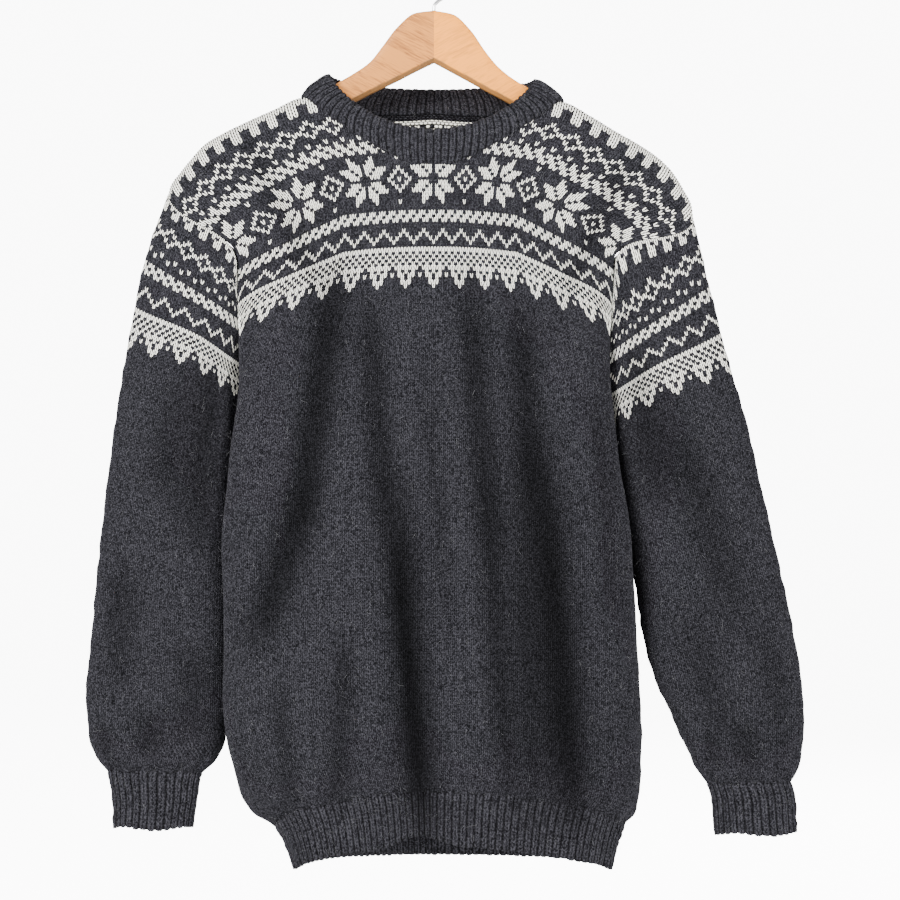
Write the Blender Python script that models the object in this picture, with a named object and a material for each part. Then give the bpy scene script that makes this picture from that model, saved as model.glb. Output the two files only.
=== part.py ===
"""Hand-knitted pullover with a patterned yoke, hanging on a wooden hanger.

Metres, +Z up, the front towards -Y. Left and right are as seen from the front, so left is
towards -X. The origin is where the hanger's hook rests on a rail: the inside of the top of
its bend. Every wall of cloth is one closed solid: an outer and an inner skin joined round
its edges. The tables are in millimetres; "down" is measured from the level of the knitted
row that runs across the shoulders at the neck, SHOULDER_LEVEL below the origin.
"""

import math

import bmesh
import bpy
from mathutils import Vector

MM = 0.001

# ---- driving sizes, in millimetres
SHOULDER_LEVEL = 134.0      # level of the highest knitted row, below the hook's bend
HALF_CUT = 245.0            # half of one body panel, laid flat
NECK_HALF_CUT = 110.0       # half of the neck opening, laid flat
BODY_LENGTH = 698.0         # highest row to the hem rib, down the middle
HEM_HEIGHT = 52.0           # height of the hem rib
SHOULDER_SLOPE = 40.0       # how far the shoulder seam drops in the flat cut
ARMHOLE_DEPTH = 250.0       # straight armhole, shoulder to underarm
FRONT_NECK_DEPTH = 85.0     # front neck edge below the highest row
BACK_NECK_DEPTH = 26.0      # back neck edge below the highest row
DRAPE_LENGTH = 115.0        # length over which the cloth settles below the shoulder
RIDGE_HALF_DEPTH = 10.5     # cloth over the hanger's rounded top
RIDGE_ROUND = 14.0          # length of cloth that turns over that top
RIDGE_DROP = RIDGE_ROUND * 2 / math.pi
NECK_SETTLE = 16.0          # length over which the cloth reaches its depth at the neck
SHOULDER_SETTLE = 62.0      # and further out
SLEEVE_SETTLE = 150.0       # length over which a sleeve settles below its seam
SIDE_PINCH_WIDTH = 26.0     # width of the groove in which the sleeve lies
MIDDLE_STRETCH = 0.05       # cloth is eased towards the sides by this share
NECK_ROUND = 2.3            # how round the front neck edge is (2 is a parabola)
BACK_NECK_ROUND = 4.0
SHALLOW_DEPTH = 30.0        # troughs fade where a wall is nearer the middle than this
SLEEVE_ROUND = 0.8          # how full a sleeve's section is (1 is an ellipse)
SLEEVE_UPPER_FALL = 2.3     # how late the armhole row falls towards the underarm
SLEEVE_EVEN_LENGTH = 420.0  # length over which a sleeve's rows become even

# ---- the hanger's arms sweep forwards, and the cloth over them with it
ARM_SWEEP = 14.0            # how far forwards at the tips
ARM_REACH = 214.0           # length of one arm, along X
SWEEP_FADE = 320.0          # length over which the cloth forgets the sweep
SWEEP_LIMIT = 1.1           # cloth past the tips follows up to this share of the reach

# ---- the neckband's upper edge
NECK_TOP_OUT = {"left": 104.0, "right": 100.0}       # half width
NECK_TOP_DOWN = {"left": -12.0, "right": -6.0}       # level at the sides
NECK_TOP_FRONT = 37.0                                # half depth and level at the front
NECK_TOP_FRONT_DOWN = 49.0
NECK_TOP_BACK = 36.0                                 # and at the back
NECK_TOP_BACK_DOWN = -3.0
NECK_BULGE = 4.0                                     # the band's own roundness
NECK_SEAM_STEP = 1.7                                 # the band starts past its seam

CLOTH = 2.6                 # knitted wall
BAND_CLOTH = 4.4            # doubled neckband
RIB_CLOTH = 3.0             # hem and cuffs, in the grooves
RIB_RELIEF = 1.3            # height of a rib over its groove
SEAM_GAP = 0.3
CUFF_STEP = 0.7             # a cuff starts this far below its sleeve
ARMHOLE_INSET = 0.5         # the panels' side edges and the sleeves' upper edges stand back
MITRE_END = 0.8             # share of the armhole along which the walls are mitred
MITRE_FADE = 0.3            # share of it over which the mitre fades
FOLD_GAP = 4.2              # extra room where the armhole seam lies in a crease
CREASE_START = 0.15         # share of the armhole at which the crease starts
CREASE_GROWS = 0.35         # and over which it grows

HEM_RIBS = 118
BAND_RIBS = 84
CUFF_RIBS = 30

WIRE_RADIUS = 1.75
HOOK_RADIUS = 22.0          # inside of the hook's bend
WOOD_HALF_DEPTH = 5.8
WOOD_ROUND = 5.0
WOOD_CENTRE_TOP = 58.0      # top of the wood, below the hook's bend

# ---- mesh density
NECK_COLUMNS = 5            # from the middle of a panel to the side of the neck
SHOULDER_COLUMNS = 6        # from there to its side edge
SHOULDER_ROWS = (0.0, 4.5, 9.5, 17.0, 30.0, 48.0)    # below the upper edge, in millimetres
PANEL_ROWS = 15             # from there down to the hem rib
SLEEVE_COLUMNS = 20
SLEEVE_ROWS = 18

# ---- tables, in millimetres
# The shoulder ridge, from the middle out: place in the flat cut, distance out and level down.
SHOULDER = {
    "along": (0, 110, 133, 155, 176, 195, 209, 226, 237, 245),
    "left_out": (0, 131, 160, 184, 208, 226, 238, 251, 259, 262),
    "left_down": (0, 14, 27, 38, 50, 61, 74, 90, 101, 111),
    "right_out": (0, 128, 156, 180, 204, 221, 235, 247, 254, 256),
    "right_down": (0, 18, 33, 48, 62, 74, 88, 107, 121, 136),
}

# The body by rows: half widths, the reach of its rounded sides, half depths, the droop of a
# row at the sides, the extra length of the back's middle, the grooves beside the sleeves,
# and the share of a panel's section that lies before the armhole seam.
BODY = {
    "down": (0, 150, 205, 290, 355, 445, 525, 577, 617, 650, 684, 698, 725, 750),
    "left": (216, 214, 205, 209, 216, 223, 221, 222, 216, 204, 180, 158, 146, 139),
    "right": (196, 196, 186, 190, 197, 208, 208, 207, 206, 205, 201, 189, 181, 176),
    "corner": (75, 70, 60, 52, 50, 50, 54, 58, 62, 65, 65, 65, 62, 60),
    "front": (40, 41, 43, 46, 48, 50, 52, 54, 55, 54, 49, 46, 44, 44),
    "back": (40, 41, 43, 46, 48, 50, 52, 54, 55, 54, 49, 46, 44, 44),
    "droop": (28, 26, 25, 25, 26, 28, 31, 34, 37, 39, 41, 41, 37, 34),
    "back_down": (0, 0, 0, 1, 3, 7, 11, 14, 17, 19, 21, 22, 23, 26),
    "left_groove": (0, 3, 10, 26, 26, 26, 26, 24, 17, 8, 0, 0, 0, 0),
    "right_groove": (0, 3, 10, 24, 24, 18, 8, 3, 0, 0, 0, 0, 0, 0),
    "share": (0.80, 0.80, 0.88, 1, 1, 1, 1, 1, 1, 1, 1, 1, 1, 1),
}

# The sleeves by rows: level along the outer edge, its place, the inner edge's place, and
# the half depth.
LEFT_SLEEVE = {
    "along": (0, 66, 142, 228, 289, 369, 450, 500, 540, 566, 584),
    "outer": (262, 285, 302, 317, 325, 334, 341, 346, 344, 336, 324),
    "outer_down": (111, 173, 248, 333, 393, 473, 553, 603, 643, 668, 682),
    "inner": (184, 195.5, 201, 204, 204, 203, 204, 205, 209, 218, 234),
    "inner_down": (315, 359, 403, 453, 489, 535, 581, 613, 647, 670, 684),
    "half_depth": (27, 28, 29, 29, 29, 28, 28, 28, 26, 20, 14),
}
RIGHT_SLEEVE = {
    "along": (0, 66, 142, 215, 255, 327, 383, 430, 484, 522, 558, 574),
    "outer": (256, 272, 292, 313, 322, 338, 350, 359, 367, 368, 362, 354),
    "outer_down": (136, 200, 273, 343, 383, 453, 507, 553, 607, 645, 680, 694),
    "inner": (166, 176, 182.5, 189.5, 194.5, 203.5, 209, 221, 238, 251, 265, 275),
    "inner_down": (315, 353, 391, 433, 458, 503, 541, 588, 626, 655, 682, 695),
    "half_depth": (27, 28, 29, 29, 29, 29, 29, 29, 28, 26, 20, 14),
}
CUFF_END = {                 # lower end of each cuff: outer and inner edge, level, half depth
    "left": (318, 242, 739, 14),
    "right": (361, 283, 745, 14),
}

# Soft troughs down the front and the back: where each starts and ends, its half width and
# its depth.
FOLDS = (
    # side, top x, top down, bottom x, bottom down, half width, depth
    ("front", -108, 205, -136, 410, 17, 5.5),
    ("front", -136, 410, -176, 540, 20, 4.0),
    ("front", -62, 240, -48, 420, 14, 3.0),
    ("front", -36, 430, -20, 700, 20, 6.5),
    ("front", 36, 220, 54, 430, 14, 3.5),
    ("front", 93, 240, 104, 400, 17, 4.5),
    ("front", 104, 400, 130, 690, 30, 7.5),
    ("back", -95, 190, -118, 470, 22, 4.5),
    ("back", 20, 260, 8, 520, 18, 3.5),
    ("back", 104, 230, 122, 560, 22, 5.0),
    ("back", -40, 590, -34, 700, 26, 5.0),
)

# The hanger by stations outwards: its upper and lower edge on both arms, below the origin.
HANGER = {
    "out": (0, 19, 37, 51, 64, 80, 97, 131, 180, 202, 211, 214),
    "left_top": (58, 60.8, 75.5, 94, 110.5, 122, 132, 151.8, 176.5, 187.8, 193, 198),
    "right_top": (58, 62, 78.5, 99, 115, 128, 138, 157.5, 185, 197.5, 203, 208),
    "left_bottom": (110, 119.5, 129, 136, 142.5, 151, 159.5, 177, 202, 213, 209.5, 204),
    "right_bottom": (110, 120.5, 130.5, 138.5, 145.5, 154.5, 164, 183, 210, 222, 218, 212),
}


# ---------------------------------------------------------------- curves through the tables
def between(table, column, at):
    """Value of a table's column at a place along its first, on a curve with no overshoot."""
    places = next(iter(table.values()))
    values = table[column]
    last = len(places) - 1
    if at <= places[0]:
        return float(values[0])
    if at >= places[last]:
        return float(values[last])
    k = next(i for i in range(last) if at <= places[i + 1])

    def steepness(i):
        return (values[i + 1] - values[i]) / (places[i + 1] - places[i])

    def slope(i):
        before, after = steepness(max(i - 1, 0)), steepness(min(i, last - 1))
        if before * after <= 0:
            return 0.0
        return 2 * before * after / (before + after)

    span = places[k + 1] - places[k]
    t = (at - places[k]) / span
    return (values[k] * (1 + 2 * t) * (1 - t) ** 2
            + slope(k) * span * t * (1 - t) ** 2
            + values[k + 1] * (3 - 2 * t) * t ** 2
            - slope(k + 1) * span * t ** 2 * (1 - t))


def ease(t):
    """Smooth step from 0 to 1."""
    t = min(max(t, 0.0), 1.0)
    return t * t * (3 - 2 * t)


def mix(a, b, t):
    return a + (b - a) * t


# ---------------------------------------------------------------- the form of the body
def shoulder_top(u):
    """Row on which a panel starts at the shoulder seam, for a place across the flat cut."""
    past_neck = max(abs(u) - NECK_HALF_CUT, 0.0)
    return SHOULDER_SLOPE * past_neck / (HALF_CUT - NECK_HALF_CUT)


def panel_top(side, u):
    """Row on which a panel starts: the neck edge, or the shoulder seam past it."""
    q = abs(u) / NECK_HALF_CUT
    if q >= 1:
        return shoulder_top(u)
    if side == "front":
        return FRONT_NECK_DEPTH * (1 - q ** NECK_ROUND)
    return BACK_NECK_DEPTH * (1 - q ** BACK_NECK_ROUND)


def arm_forward(x):
    """How far the hanger's arms have swept forwards at a distance out."""
    return ARM_SWEEP * min(abs(x) / ARM_REACH, SWEEP_LIMIT)


def fold_depth(side, x, down):
    """Depth of the troughs at a place on a panel."""
    depth = 0.0
    for where, top_x, top, bottom_x, bottom, half_width, deepest in FOLDS:
        if where != side:
            continue
        t = (down - top) / (bottom - top)
        if t < -0.3 or t > 1.3:
            continue
        centre = mix(top_x, bottom_x, t)
        across = math.exp(-((x - centre) / half_width) ** 2)
        along = ease((t + 0.3) / 0.5) * ease((1.3 - t) / 0.5)
        depth += deepest * across * along
    return depth


def body_point(side, u, v):
    """Middle of the wall at a place across (u) and down (v) the flat cut, in metres."""
    hand = "left" if u < 0 else "right"
    sign = -1.0 if u < 0 else 1.0
    half = between(BODY, hand, v)
    depth = between(BODY, side, v)
    corner = between(BODY, "corner", v)
    flat = half - corner
    quarter = math.pi / 2 * math.sqrt((corner ** 2 + depth ** 2) / 2)
    s = abs(u) / HALF_CUT
    reach = (flat + quarter) * between(BODY, "share", v)
    reach *= s * (1 + MIDDLE_STRETCH * (1 - s * s))
    if reach <= flat:
        x, y = reach, depth
    else:
        turn = (reach - flat) / quarter * math.pi / 2
        x = flat + corner * math.sin(turn)
        y = depth * math.cos(turn)
    groove = between(BODY, hand + "_groove", v)
    x -= groove * math.exp(-(y / SIDE_PINCH_WIDTH) ** 2) * (x / half) ** 4

    below = max(v - shoulder_top(u), 0.0)
    lift = 1 - ease(below / DRAPE_LENGTH)
    ridge_x = between(SHOULDER, hand + "_out", abs(u))
    x = mix(x, ridge_x, lift)

    low_droop = between(BODY, "droop", v) * s * s
    ridge_down = between(SHOULDER, hand + "_down", abs(u)) - shoulder_top(u)
    down = v + low_droop + (ridge_down - low_droop) * lift
    if side == "back":
        down += between(BODY, "back_down", v) * (1 - s * s)

    over = min(below / RIDGE_ROUND, 1.0) * math.pi / 2
    ridge_y = RIDGE_HALF_DEPTH * math.sin(over)
    turned = RIDGE_DROP * (1 - math.cos(over))
    saved = min(below, RIDGE_ROUND) - turned
    down -= saved * (1 - ease((below - RIDGE_ROUND) / DRAPE_LENGTH))
    slowness = mix(NECK_SETTLE, SHOULDER_SETTLE, ease(abs(u) / NECK_HALF_CUT))
    settle = 1 - math.exp(-below / slowness)
    y = min(ridge_y, y) + max(y - RIDGE_HALF_DEPTH, 0.0) * settle
    y -= fold_depth(side, sign * x, down) * ease(y / SHALLOW_DEPTH)
    forward = arm_forward(x) * (1 - ease(below / SWEEP_FADE))
    y = -y if side == "front" else y
    return Vector((sign * x, y - forward, -SHOULDER_LEVEL - down)) * MM


def outward(place, a, b, facing):
    """Unit normal of a mapped surface at (a, b), turned to agree with a facing."""
    step = 0.5
    along = place(a + step, b) - place(a - step, b)
    down = place(a, b + step) - place(a, b - step)
    normal = along.cross(down).normalized()
    return normal if normal.dot(facing) >= 0 else -normal


# ---------------------------------------------------------------- meshes from skins
def new_object(name, mesh, material):
    made = bpy.data.objects.new(name, mesh)
    bpy.context.scene.collection.objects.link(made)
    mesh.materials.append(material)
    return made


def closed_wall(name, outer, inner, closed, material):
    """One solid from two skins, each a list of rows of points, joined round their edges."""
    bm = bmesh.new()
    skins = [[[bm.verts.new(p) for p in row] for row in skin] for skin in (outer, inner)]
    columns = len(outer[0])
    spans = columns if closed else columns - 1
    for skin in skins:
        for upper, lower in zip(skin, skin[1:]):
            for c in range(spans):
                n = (c + 1) % columns
                bm.faces.new((upper[c], upper[n], lower[n], lower[c]))
    for r in (0, -1):
        for c in range(spans):
            n = (c + 1) % columns
            bm.faces.new((skins[0][r][c], skins[0][r][n], skins[1][r][n], skins[1][r][c]))
    if not closed:
        for c in (0, columns - 1):
            for r in range(len(outer) - 1):
                bm.faces.new((skins[0][r][c], skins[0][r + 1][c],
                              skins[1][r + 1][c], skins[1][r][c]))
    bmesh.ops.recalc_face_normals(bm, faces=bm.faces)
    bmesh.ops.triangulate(bm, faces=bm.faces)
    mesh = bpy.data.meshes.new(name)
    bm.to_mesh(mesh)
    bm.free()
    mesh.shade_smooth()
    mesh.set_sharp_from_angle(angle=math.radians(50))
    return new_object(name, mesh, material)


def principled(name, colour, roughness, metallic=0.0):
    material = bpy.data.materials.new(name)
    material.use_nodes = True
    shader = material.node_tree.nodes["Principled BSDF"]
    shader.inputs["Base Color"].default_value = (*colour, 1.0)
    shader.inputs["Roughness"].default_value = roughness
    shader.inputs["Metallic"].default_value = metallic
    return material


# ---------------------------------------------------------------- body panels
def panel_columns():
    """Places across the flat cut of the columns of a panel's mesh, from edge to edge."""
    half = [NECK_HALF_CUT * math.sin(math.pi / 2 * k / NECK_COLUMNS)
            for k in range(1, NECK_COLUMNS + 1)]
    shoulder = HALF_CUT - ARMHOLE_INSET - NECK_HALF_CUT
    half += [NECK_HALF_CUT + shoulder * (k / SHOULDER_COLUMNS) ** 0.85
             for k in range(1, SHOULDER_COLUMNS + 1)]
    return [-u for u in reversed(half)] + [0.0] + half


def panel_row(side, u, r):
    """Row of the flat cut on which a panel's mesh row r lies, for a place across it."""
    top = panel_top(side, u) + SEAM_GAP
    if r < len(SHOULDER_ROWS):
        return top + SHOULDER_ROWS[r]
    share = (r - len(SHOULDER_ROWS) + 1) / PANEL_ROWS
    return mix(top + SHOULDER_ROWS[-1], BODY_LENGTH - SEAM_GAP / 2, share)


def edge_normal(side, u, v, own):
    """Direction in which a panel's side edge is cut: mitred with the sleeve's edge above
    the underarm, and square to the other panel below it."""
    share = (v - SHOULDER_SLOPE) / ARMHOLE_DEPTH
    if share > MITRE_END:
        return Vector((own.x, 0, own.z)).normalized()
    hand = "left" if u < 0 else "right"
    turn = share if side == "front" else 2 - share
    return seam_normal(hand, turn, own)


def panel(side, material):
    """Front or back: a knitted wall from the neck and shoulder seams to the hem rib."""
    facing = Vector((0, -1, 0.4)) if side == "front" else Vector((0, 1, 0.4))
    columns = panel_columns()
    edge = columns[-1]

    def place(u, v):
        return body_point(side, u, v)

    rows = len(SHOULDER_ROWS) + PANEL_ROWS
    half_gap = facing.y * SEAM_GAP / 2 * MM
    outer, inner = [], []
    for r in range(rows):
        outer_row, inner_row = [], []
        for u in columns:
            v = panel_row(side, u, r)
            sideways = Vector(((u / edge) ** 7 * 3, 0, 0))
            normal = outward(place, u, v, facing + sideways)
            if abs(u) == edge:
                normal = edge_normal(side, u, v, normal)
            point = place(u, v)
            point.y += half_gap
            outer_row.append(point + normal * CLOTH / 2 * MM)
            inner_row.append(point - normal * CLOTH / 2 * MM)
        outer.append(outer_row)
        inner.append(inner_row)
    return closed_wall(side + "_panel", outer, inner, False, material)


# ---------------------------------------------------------------- sleeves
def armhole_point(hand, turn):
    """Place on the armhole seam: turn 0 at the shoulder, 1 underarm by the front, 2 again."""
    side = "front" if turn <= 1 else "back"
    share = turn if turn <= 1 else 2 - turn
    u = -HALF_CUT if hand == "left" else HALF_CUT
    return body_point(side, u, SHOULDER_SLOPE + ARMHOLE_DEPTH * share)


def free_sleeve_point(hand, turn, along):
    """A sleeve's wall by its table alone: turn round it (0 to 2), along its outer edge."""
    table = LEFT_SLEEVE if hand == "left" else RIGHT_SLEEVE
    sign = -1.0 if hand == "left" else 1.0
    turn = turn % 2.0
    share = turn if turn <= 1 else 2 - turn
    facing = -1.0 if turn <= 1 else 1.0
    even = (1 - math.cos(math.pi * share)) / 2
    lower = ease(along / SLEEVE_EVEN_LENGTH)
    across = mix(1 - (1 - share) ** 2, even, lower)
    falls = mix(share ** SLEEVE_UPPER_FALL, even, lower)
    x = mix(between(table, "outer", along), between(table, "inner", along), across)
    down = mix(between(table, "outer_down", along), between(table, "inner_down", along), falls)
    depth = between(table, "half_depth", along) * math.sin(math.pi * share) ** SLEEVE_ROUND
    forward = arm_forward(x) * (1 - ease(along / SWEEP_FADE))
    return Vector((sign * x, facing * depth - forward, -SHOULDER_LEVEL - down)) * MM


def sleeve_point(hand, turn, along):
    """Middle of a sleeve's wall; it leaves the armhole seam and settles into its own form."""
    point = free_sleeve_point(hand, turn, along)
    if along < SLEEVE_SETTLE:
        offset = armhole_point(hand, turn % 2.0) - free_sleeve_point(hand, turn, 0.0)
        point += offset * (1 - ease(along / SLEEVE_SETTLE))
    return point


def sleeve_axis(hand, along):
    """Point inside a sleeve, from which its wall faces away."""
    table = LEFT_SLEEVE if hand == "left" else RIGHT_SLEEVE
    sign = -1.0 if hand == "left" else 1.0
    x = mix(between(table, "outer", along), between(table, "inner", along), 0.5)
    down = mix(between(table, "outer_down", along), between(table, "inner_down", along), 0.35)
    return Vector((sign * x, 0, -SHOULDER_LEVEL - down)) * MM


def sleeve_normal(hand, turn, along):
    """Outward direction of a sleeve's wall."""
    def place(hundredth, down):
        return sleeve_point(hand, hundredth / 100.0, down)
    facing = sleeve_point(hand, turn, along) - sleeve_axis(hand, along)
    return outward(place, turn * 100, max(along, 1.0), facing)


def seam_normal(hand, turn, own):
    """Direction of the cut along the armhole seam, halfway between the two walls."""
    side = "front" if turn <= 1 else "back"
    share = turn if turn <= 1 else 2 - turn
    u = (HALF_CUT - ARMHOLE_INSET) * (-1 if hand == "left" else 1)
    v = SHOULDER_SLOPE + ARMHOLE_DEPTH * share
    facing = Vector((math.copysign(1.0, u), -1.5 if side == "front" else 1.5, 0.4))

    def place(a, b):
        return body_point(side, a, b)

    panel_side = outward(place, u, max(v, SHOULDER_SLOPE + 1), facing)
    halfway = (panel_side + sleeve_normal(hand, turn, 1.0)).normalized()
    fade = ease((share - MITRE_END + MITRE_FADE) / MITRE_FADE)
    return halfway.lerp(own, fade).normalized()


def sleeve(hand, material):
    """A sleeve: a tapering tube from the armhole seam to the cuff."""
    table = LEFT_SLEEVE if hand == "left" else RIGHT_SLEEVE
    length = table["along"][-1]
    sign = -1.0 if hand == "left" else 1.0
    outer, inner = [], []
    for r in range(SLEEVE_ROWS + 1):
        share = r / SLEEVE_ROWS
        outer_row, inner_row = [], []
        for c in range(SLEEVE_COLUMNS):
            turn = 2 * c / SLEEVE_COLUMNS
            crease = ease((min(turn, 2 - turn) - CREASE_START) / CREASE_GROWS)
            start = ARMHOLE_INSET + FOLD_GAP * crease
            along = mix(start, length - SEAM_GAP, share)
            point = sleeve_point(hand, turn, along)
            point.x += sign * FOLD_GAP * crease * (1 - ease(share * 7)) * MM
            normal = sleeve_normal(hand, turn, along)
            if r == 0 and min(turn, 2 - turn) < MITRE_END:
                normal = seam_normal(hand, turn, normal)
            outer_row.append(point + normal * CLOTH / 2 * MM)
            inner_row.append(point - normal * CLOTH / 2 * MM)
        outer.append(outer_row)
        inner.append(inner_row)
    return closed_wall(hand + "_sleeve", outer, inner, True, material)


# ---------------------------------------------------------------- ribbed bands
def ribbed_band(name, place, facing_from, columns, outer_rows, inner_rows, cloth, material):
    """A closed band whose outer skin is raised into ribs over a plain inner skin.

    Each row is its height, the share of the cloth's thickness there and of the relief.
    """
    skins = []
    for rows, side in ((outer_rows, 1), (inner_rows, -1)):
        skin = []
        for h, thickness, relief in rows:
            row = []
            for c in range(columns):
                turn = c / columns
                normal = band_normal(place, turn, h, facing_from(turn, h))
                rib = RIB_RELIEF * relief if c % 2 == 0 and side == 1 else 0.0
                offset = side * (cloth * thickness / 2 + rib)
                row.append(place(turn, h) + normal * offset * MM)
            skin.append(row)
        skins.append(skin)
    return closed_wall(name, skins[0], skins[1], True, material)


def band_normal(place, turn, h, facing):
    step = 0.002
    along = place(turn + step, h) - place(turn - step, h)
    up = place(turn, min(h + 0.02, 1.0)) - place(turn, max(h - 0.02, 0.0))
    normal = along.cross(up).normalized()
    return normal if normal.dot(facing) >= 0 else -normal


def hem_point(turn, h):
    """The hem rib: round the front then the back, h 0 at its top and 1 at its lower edge."""
    turn = turn % 1.0
    side = "front" if turn < 0.5 else "back"
    u = HALF_CUT * (4 * turn - 1) if turn < 0.5 else HALF_CUT * (3 - 4 * turn)
    v = BODY_LENGTH + mix(SEAM_GAP * 1.5, HEM_HEIGHT, h)
    return body_point(side, u, v)


def hem_rib(material):
    def facing(turn, h):
        point = hem_point(turn, h)
        return Vector((point.x, point.y * 3, 0))
    return ribbed_band("hem_rib", hem_point, facing, HEM_RIBS * 2,
                       ((0, 0.9, 0), (0.5, 1, 1), (1, 1, 1)), ((0, 0.9, 0), (1, 1, 0)),
                       RIB_CLOTH, material)


def neck_seam_point(turn):
    """The neck edge of the panels: round the front, then the back."""
    turn = turn % 1.0
    side = "front" if turn < 0.5 else "back"
    swing = math.cos(2 * math.pi * turn)
    u = -NECK_HALF_CUT * swing
    return body_point(side, u, panel_top(side, u))


def neck_top_point(turn):
    """The neckband's upper edge, round the front and then the back."""
    turn = turn % 1.0
    angle = 2 * math.pi * turn
    lean = abs(math.sin(angle))
    to_right = (1 - math.cos(angle)) / 2
    x = -math.cos(angle) * mix(NECK_TOP_OUT["left"], NECK_TOP_OUT["right"], to_right)
    side_down = mix(NECK_TOP_DOWN["left"], NECK_TOP_DOWN["right"], to_right)
    if turn < 0.5:
        y = -NECK_TOP_FRONT * lean ** 0.9
        down = mix(side_down, NECK_TOP_FRONT_DOWN, lean ** 1.5)
    else:
        y = NECK_TOP_BACK * lean ** 0.9
        down = mix(side_down, NECK_TOP_BACK_DOWN, lean)
    y -= arm_forward(x) * 0.9
    return Vector((x, y, -SHOULDER_LEVEL - down)) * MM


def neck_point(turn, h):
    """The neckband: h 0 at the seam and 1 at its upper edge."""
    low = neck_seam_point(turn)
    high = neck_top_point(turn)
    start = (high - low).normalized() * (SEAM_GAP + NECK_SEAM_STEP) * MM
    point = (low + start).lerp(high, h)
    out = Vector((point.x, point.y * 2, 0)).normalized()
    return point + out * NECK_BULGE * 4 * h * (1 - h) * MM


def neckband(material):
    def facing(turn, h):
        point = neck_point(turn, h)
        return Vector((point.x, point.y * 3, 0.02))
    return ribbed_band("neckband", neck_point, facing, BAND_RIBS * 2,
                       ((0, 0.5, 0), (0.25, 1, 1), (0.75, 1, 1), (1, 0.5, 0.6)),
                       ((0, 0.5, 0), (0.5, 0.8, 0), (1, 0.5, 0)), BAND_CLOTH, material)


def cuff_point(hand, turn, h):
    """A cuff: from the sleeve's last row to its own lower edge."""
    table = LEFT_SLEEVE if hand == "left" else RIGHT_SLEEVE
    sign = -1.0 if hand == "left" else 1.0
    outer, inner, level, half_depth = CUFF_END[hand]
    round_turn = (turn % 1.0) * 2
    high = sleeve_point(hand, round_turn, table["along"][-1])
    high.z -= CUFF_STEP * MM
    angle = math.pi * round_turn
    x = mix(outer, inner, (1 - math.cos(angle)) / 2)
    y = -half_depth * math.sin(angle)
    low = Vector((sign * x, y, -SHOULDER_LEVEL - level)) * MM
    return high.lerp(low, h)


def cuff(hand, material):
    def place(turn, h):
        return cuff_point(hand, turn, h)

    def facing(turn, h):
        centre = (cuff_point(hand, 0.0, h) + cuff_point(hand, 0.5, h)) / 2
        point = place(turn, h) - centre
        return Vector((point.x, point.y * 3, 0))

    return ribbed_band(hand + "_cuff", place, facing, CUFF_RIBS * 2,
                       ((0, 0.9, 0), (0.5, 1, 1), (1, 1, 1)), ((0, 0.9, 0), (1, 1, 0)),
                       RIB_CLOTH, material)


# ---------------------------------------------------------------- hanger
def arm_section(hand, out):
    """Rounded section of a hanger's arm at a distance out."""
    sign = -1.0 if hand == "left" else 1.0
    top = between(HANGER, hand + "_top", out)
    bottom = between(HANGER, hand + "_bottom", out)
    tall = bottom - top
    taper = min(1.0, 0.55 + tall / 30.0)
    half = WOOD_HALF_DEPTH * taper
    bend = min(WOOD_ROUND, tall * 0.3, half * 0.8)
    middle = -arm_forward(out)
    ring = []
    for corner_y, corner_z, first in ((1, -1, 0), (-1, -1, 90), (-1, 1, 180), (1, 1, 270)):
        for step in range(3):
            angle = math.radians(first + 45 * step)
            y = middle + corner_y * (half - bend) + bend * math.cos(angle)
            z = (-top - bend if corner_z < 0 else -bottom + bend) + bend * math.sin(angle)
            ring.append(Vector((sign * max(out, SEAM_GAP / 2), y, z)) * MM)
    return ring


def hanger_arm(hand, material):
    bm = bmesh.new()
    rings = []
    for out in HANGER["out"]:
        rings.append([bm.verts.new(p) for p in arm_section(hand, out)])
    count = len(rings[0])
    for near, far in zip(rings, rings[1:]):
        for k in range(count):
            n = (k + 1) % count
            bm.faces.new((near[k], near[n], far[n], far[k]))
    bm.faces.new(rings[0])
    bm.faces.new(rings[-1])
    bmesh.ops.recalc_face_normals(bm, faces=bm.faces)
    bmesh.ops.triangulate(bm, faces=bm.faces)
    name = "hanger_" + hand
    mesh = bpy.data.meshes.new(name)
    bm.to_mesh(mesh)
    bm.free()
    mesh.shade_smooth()
    mesh.set_sharp_from_angle(angle=math.radians(40))
    return new_object(name, mesh, material)


def hook(material):
    """Steel wire: a straight stem on the wood, then the bend that goes over a rail."""
    path = []
    radius = HOOK_RADIUS + WIRE_RADIUS
    for degrees in range(200, -51, -14):
        angle = math.radians(degrees)
        path.append((radius * math.cos(angle), -HOOK_RADIUS + radius * math.sin(angle)))
    path += [(8.0, -46.0), (2.6, -49.5), (0.0, -53.5), (0.0, SEAM_GAP - WOOD_CENTRE_TOP)]
    curve = bpy.data.curves.new("hook", "CURVE")
    curve.dimensions = "3D"
    curve.bevel_depth = WIRE_RADIUS * MM
    curve.bevel_resolution = 2
    curve.use_fill_caps = True
    spline = curve.splines.new("POLY")
    spline.points.add(len(path) - 1)
    for point, (x, z) in zip(spline.points, path):
        point.co = (x * MM, 0.0, z * MM, 1.0)
    return new_object("hook", curve, material)


def build():
    for old in list(bpy.data.objects):
        bpy.data.objects.remove(old, do_unlink=True)
    knit = principled("charcoal_knit", (0.045, 0.045, 0.055), 0.95)
    panel("front", knit.copy())
    panel("back", knit.copy())
    for hand in ("left", "right"):
        sleeve(hand, knit.copy())
        cuff(hand, knit.copy())
    neckband(knit.copy())
    hem_rib(knit.copy())
    beech = principled("beech", (0.75, 0.52, 0.32), 0.5)
    hanger_arm("left", beech.copy())
    hanger_arm("right", beech.copy())
    hook(principled("bright_steel", (0.62, 0.62, 0.62), 0.28, 1.0))


build()
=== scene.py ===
import math
from functools import partial

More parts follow.
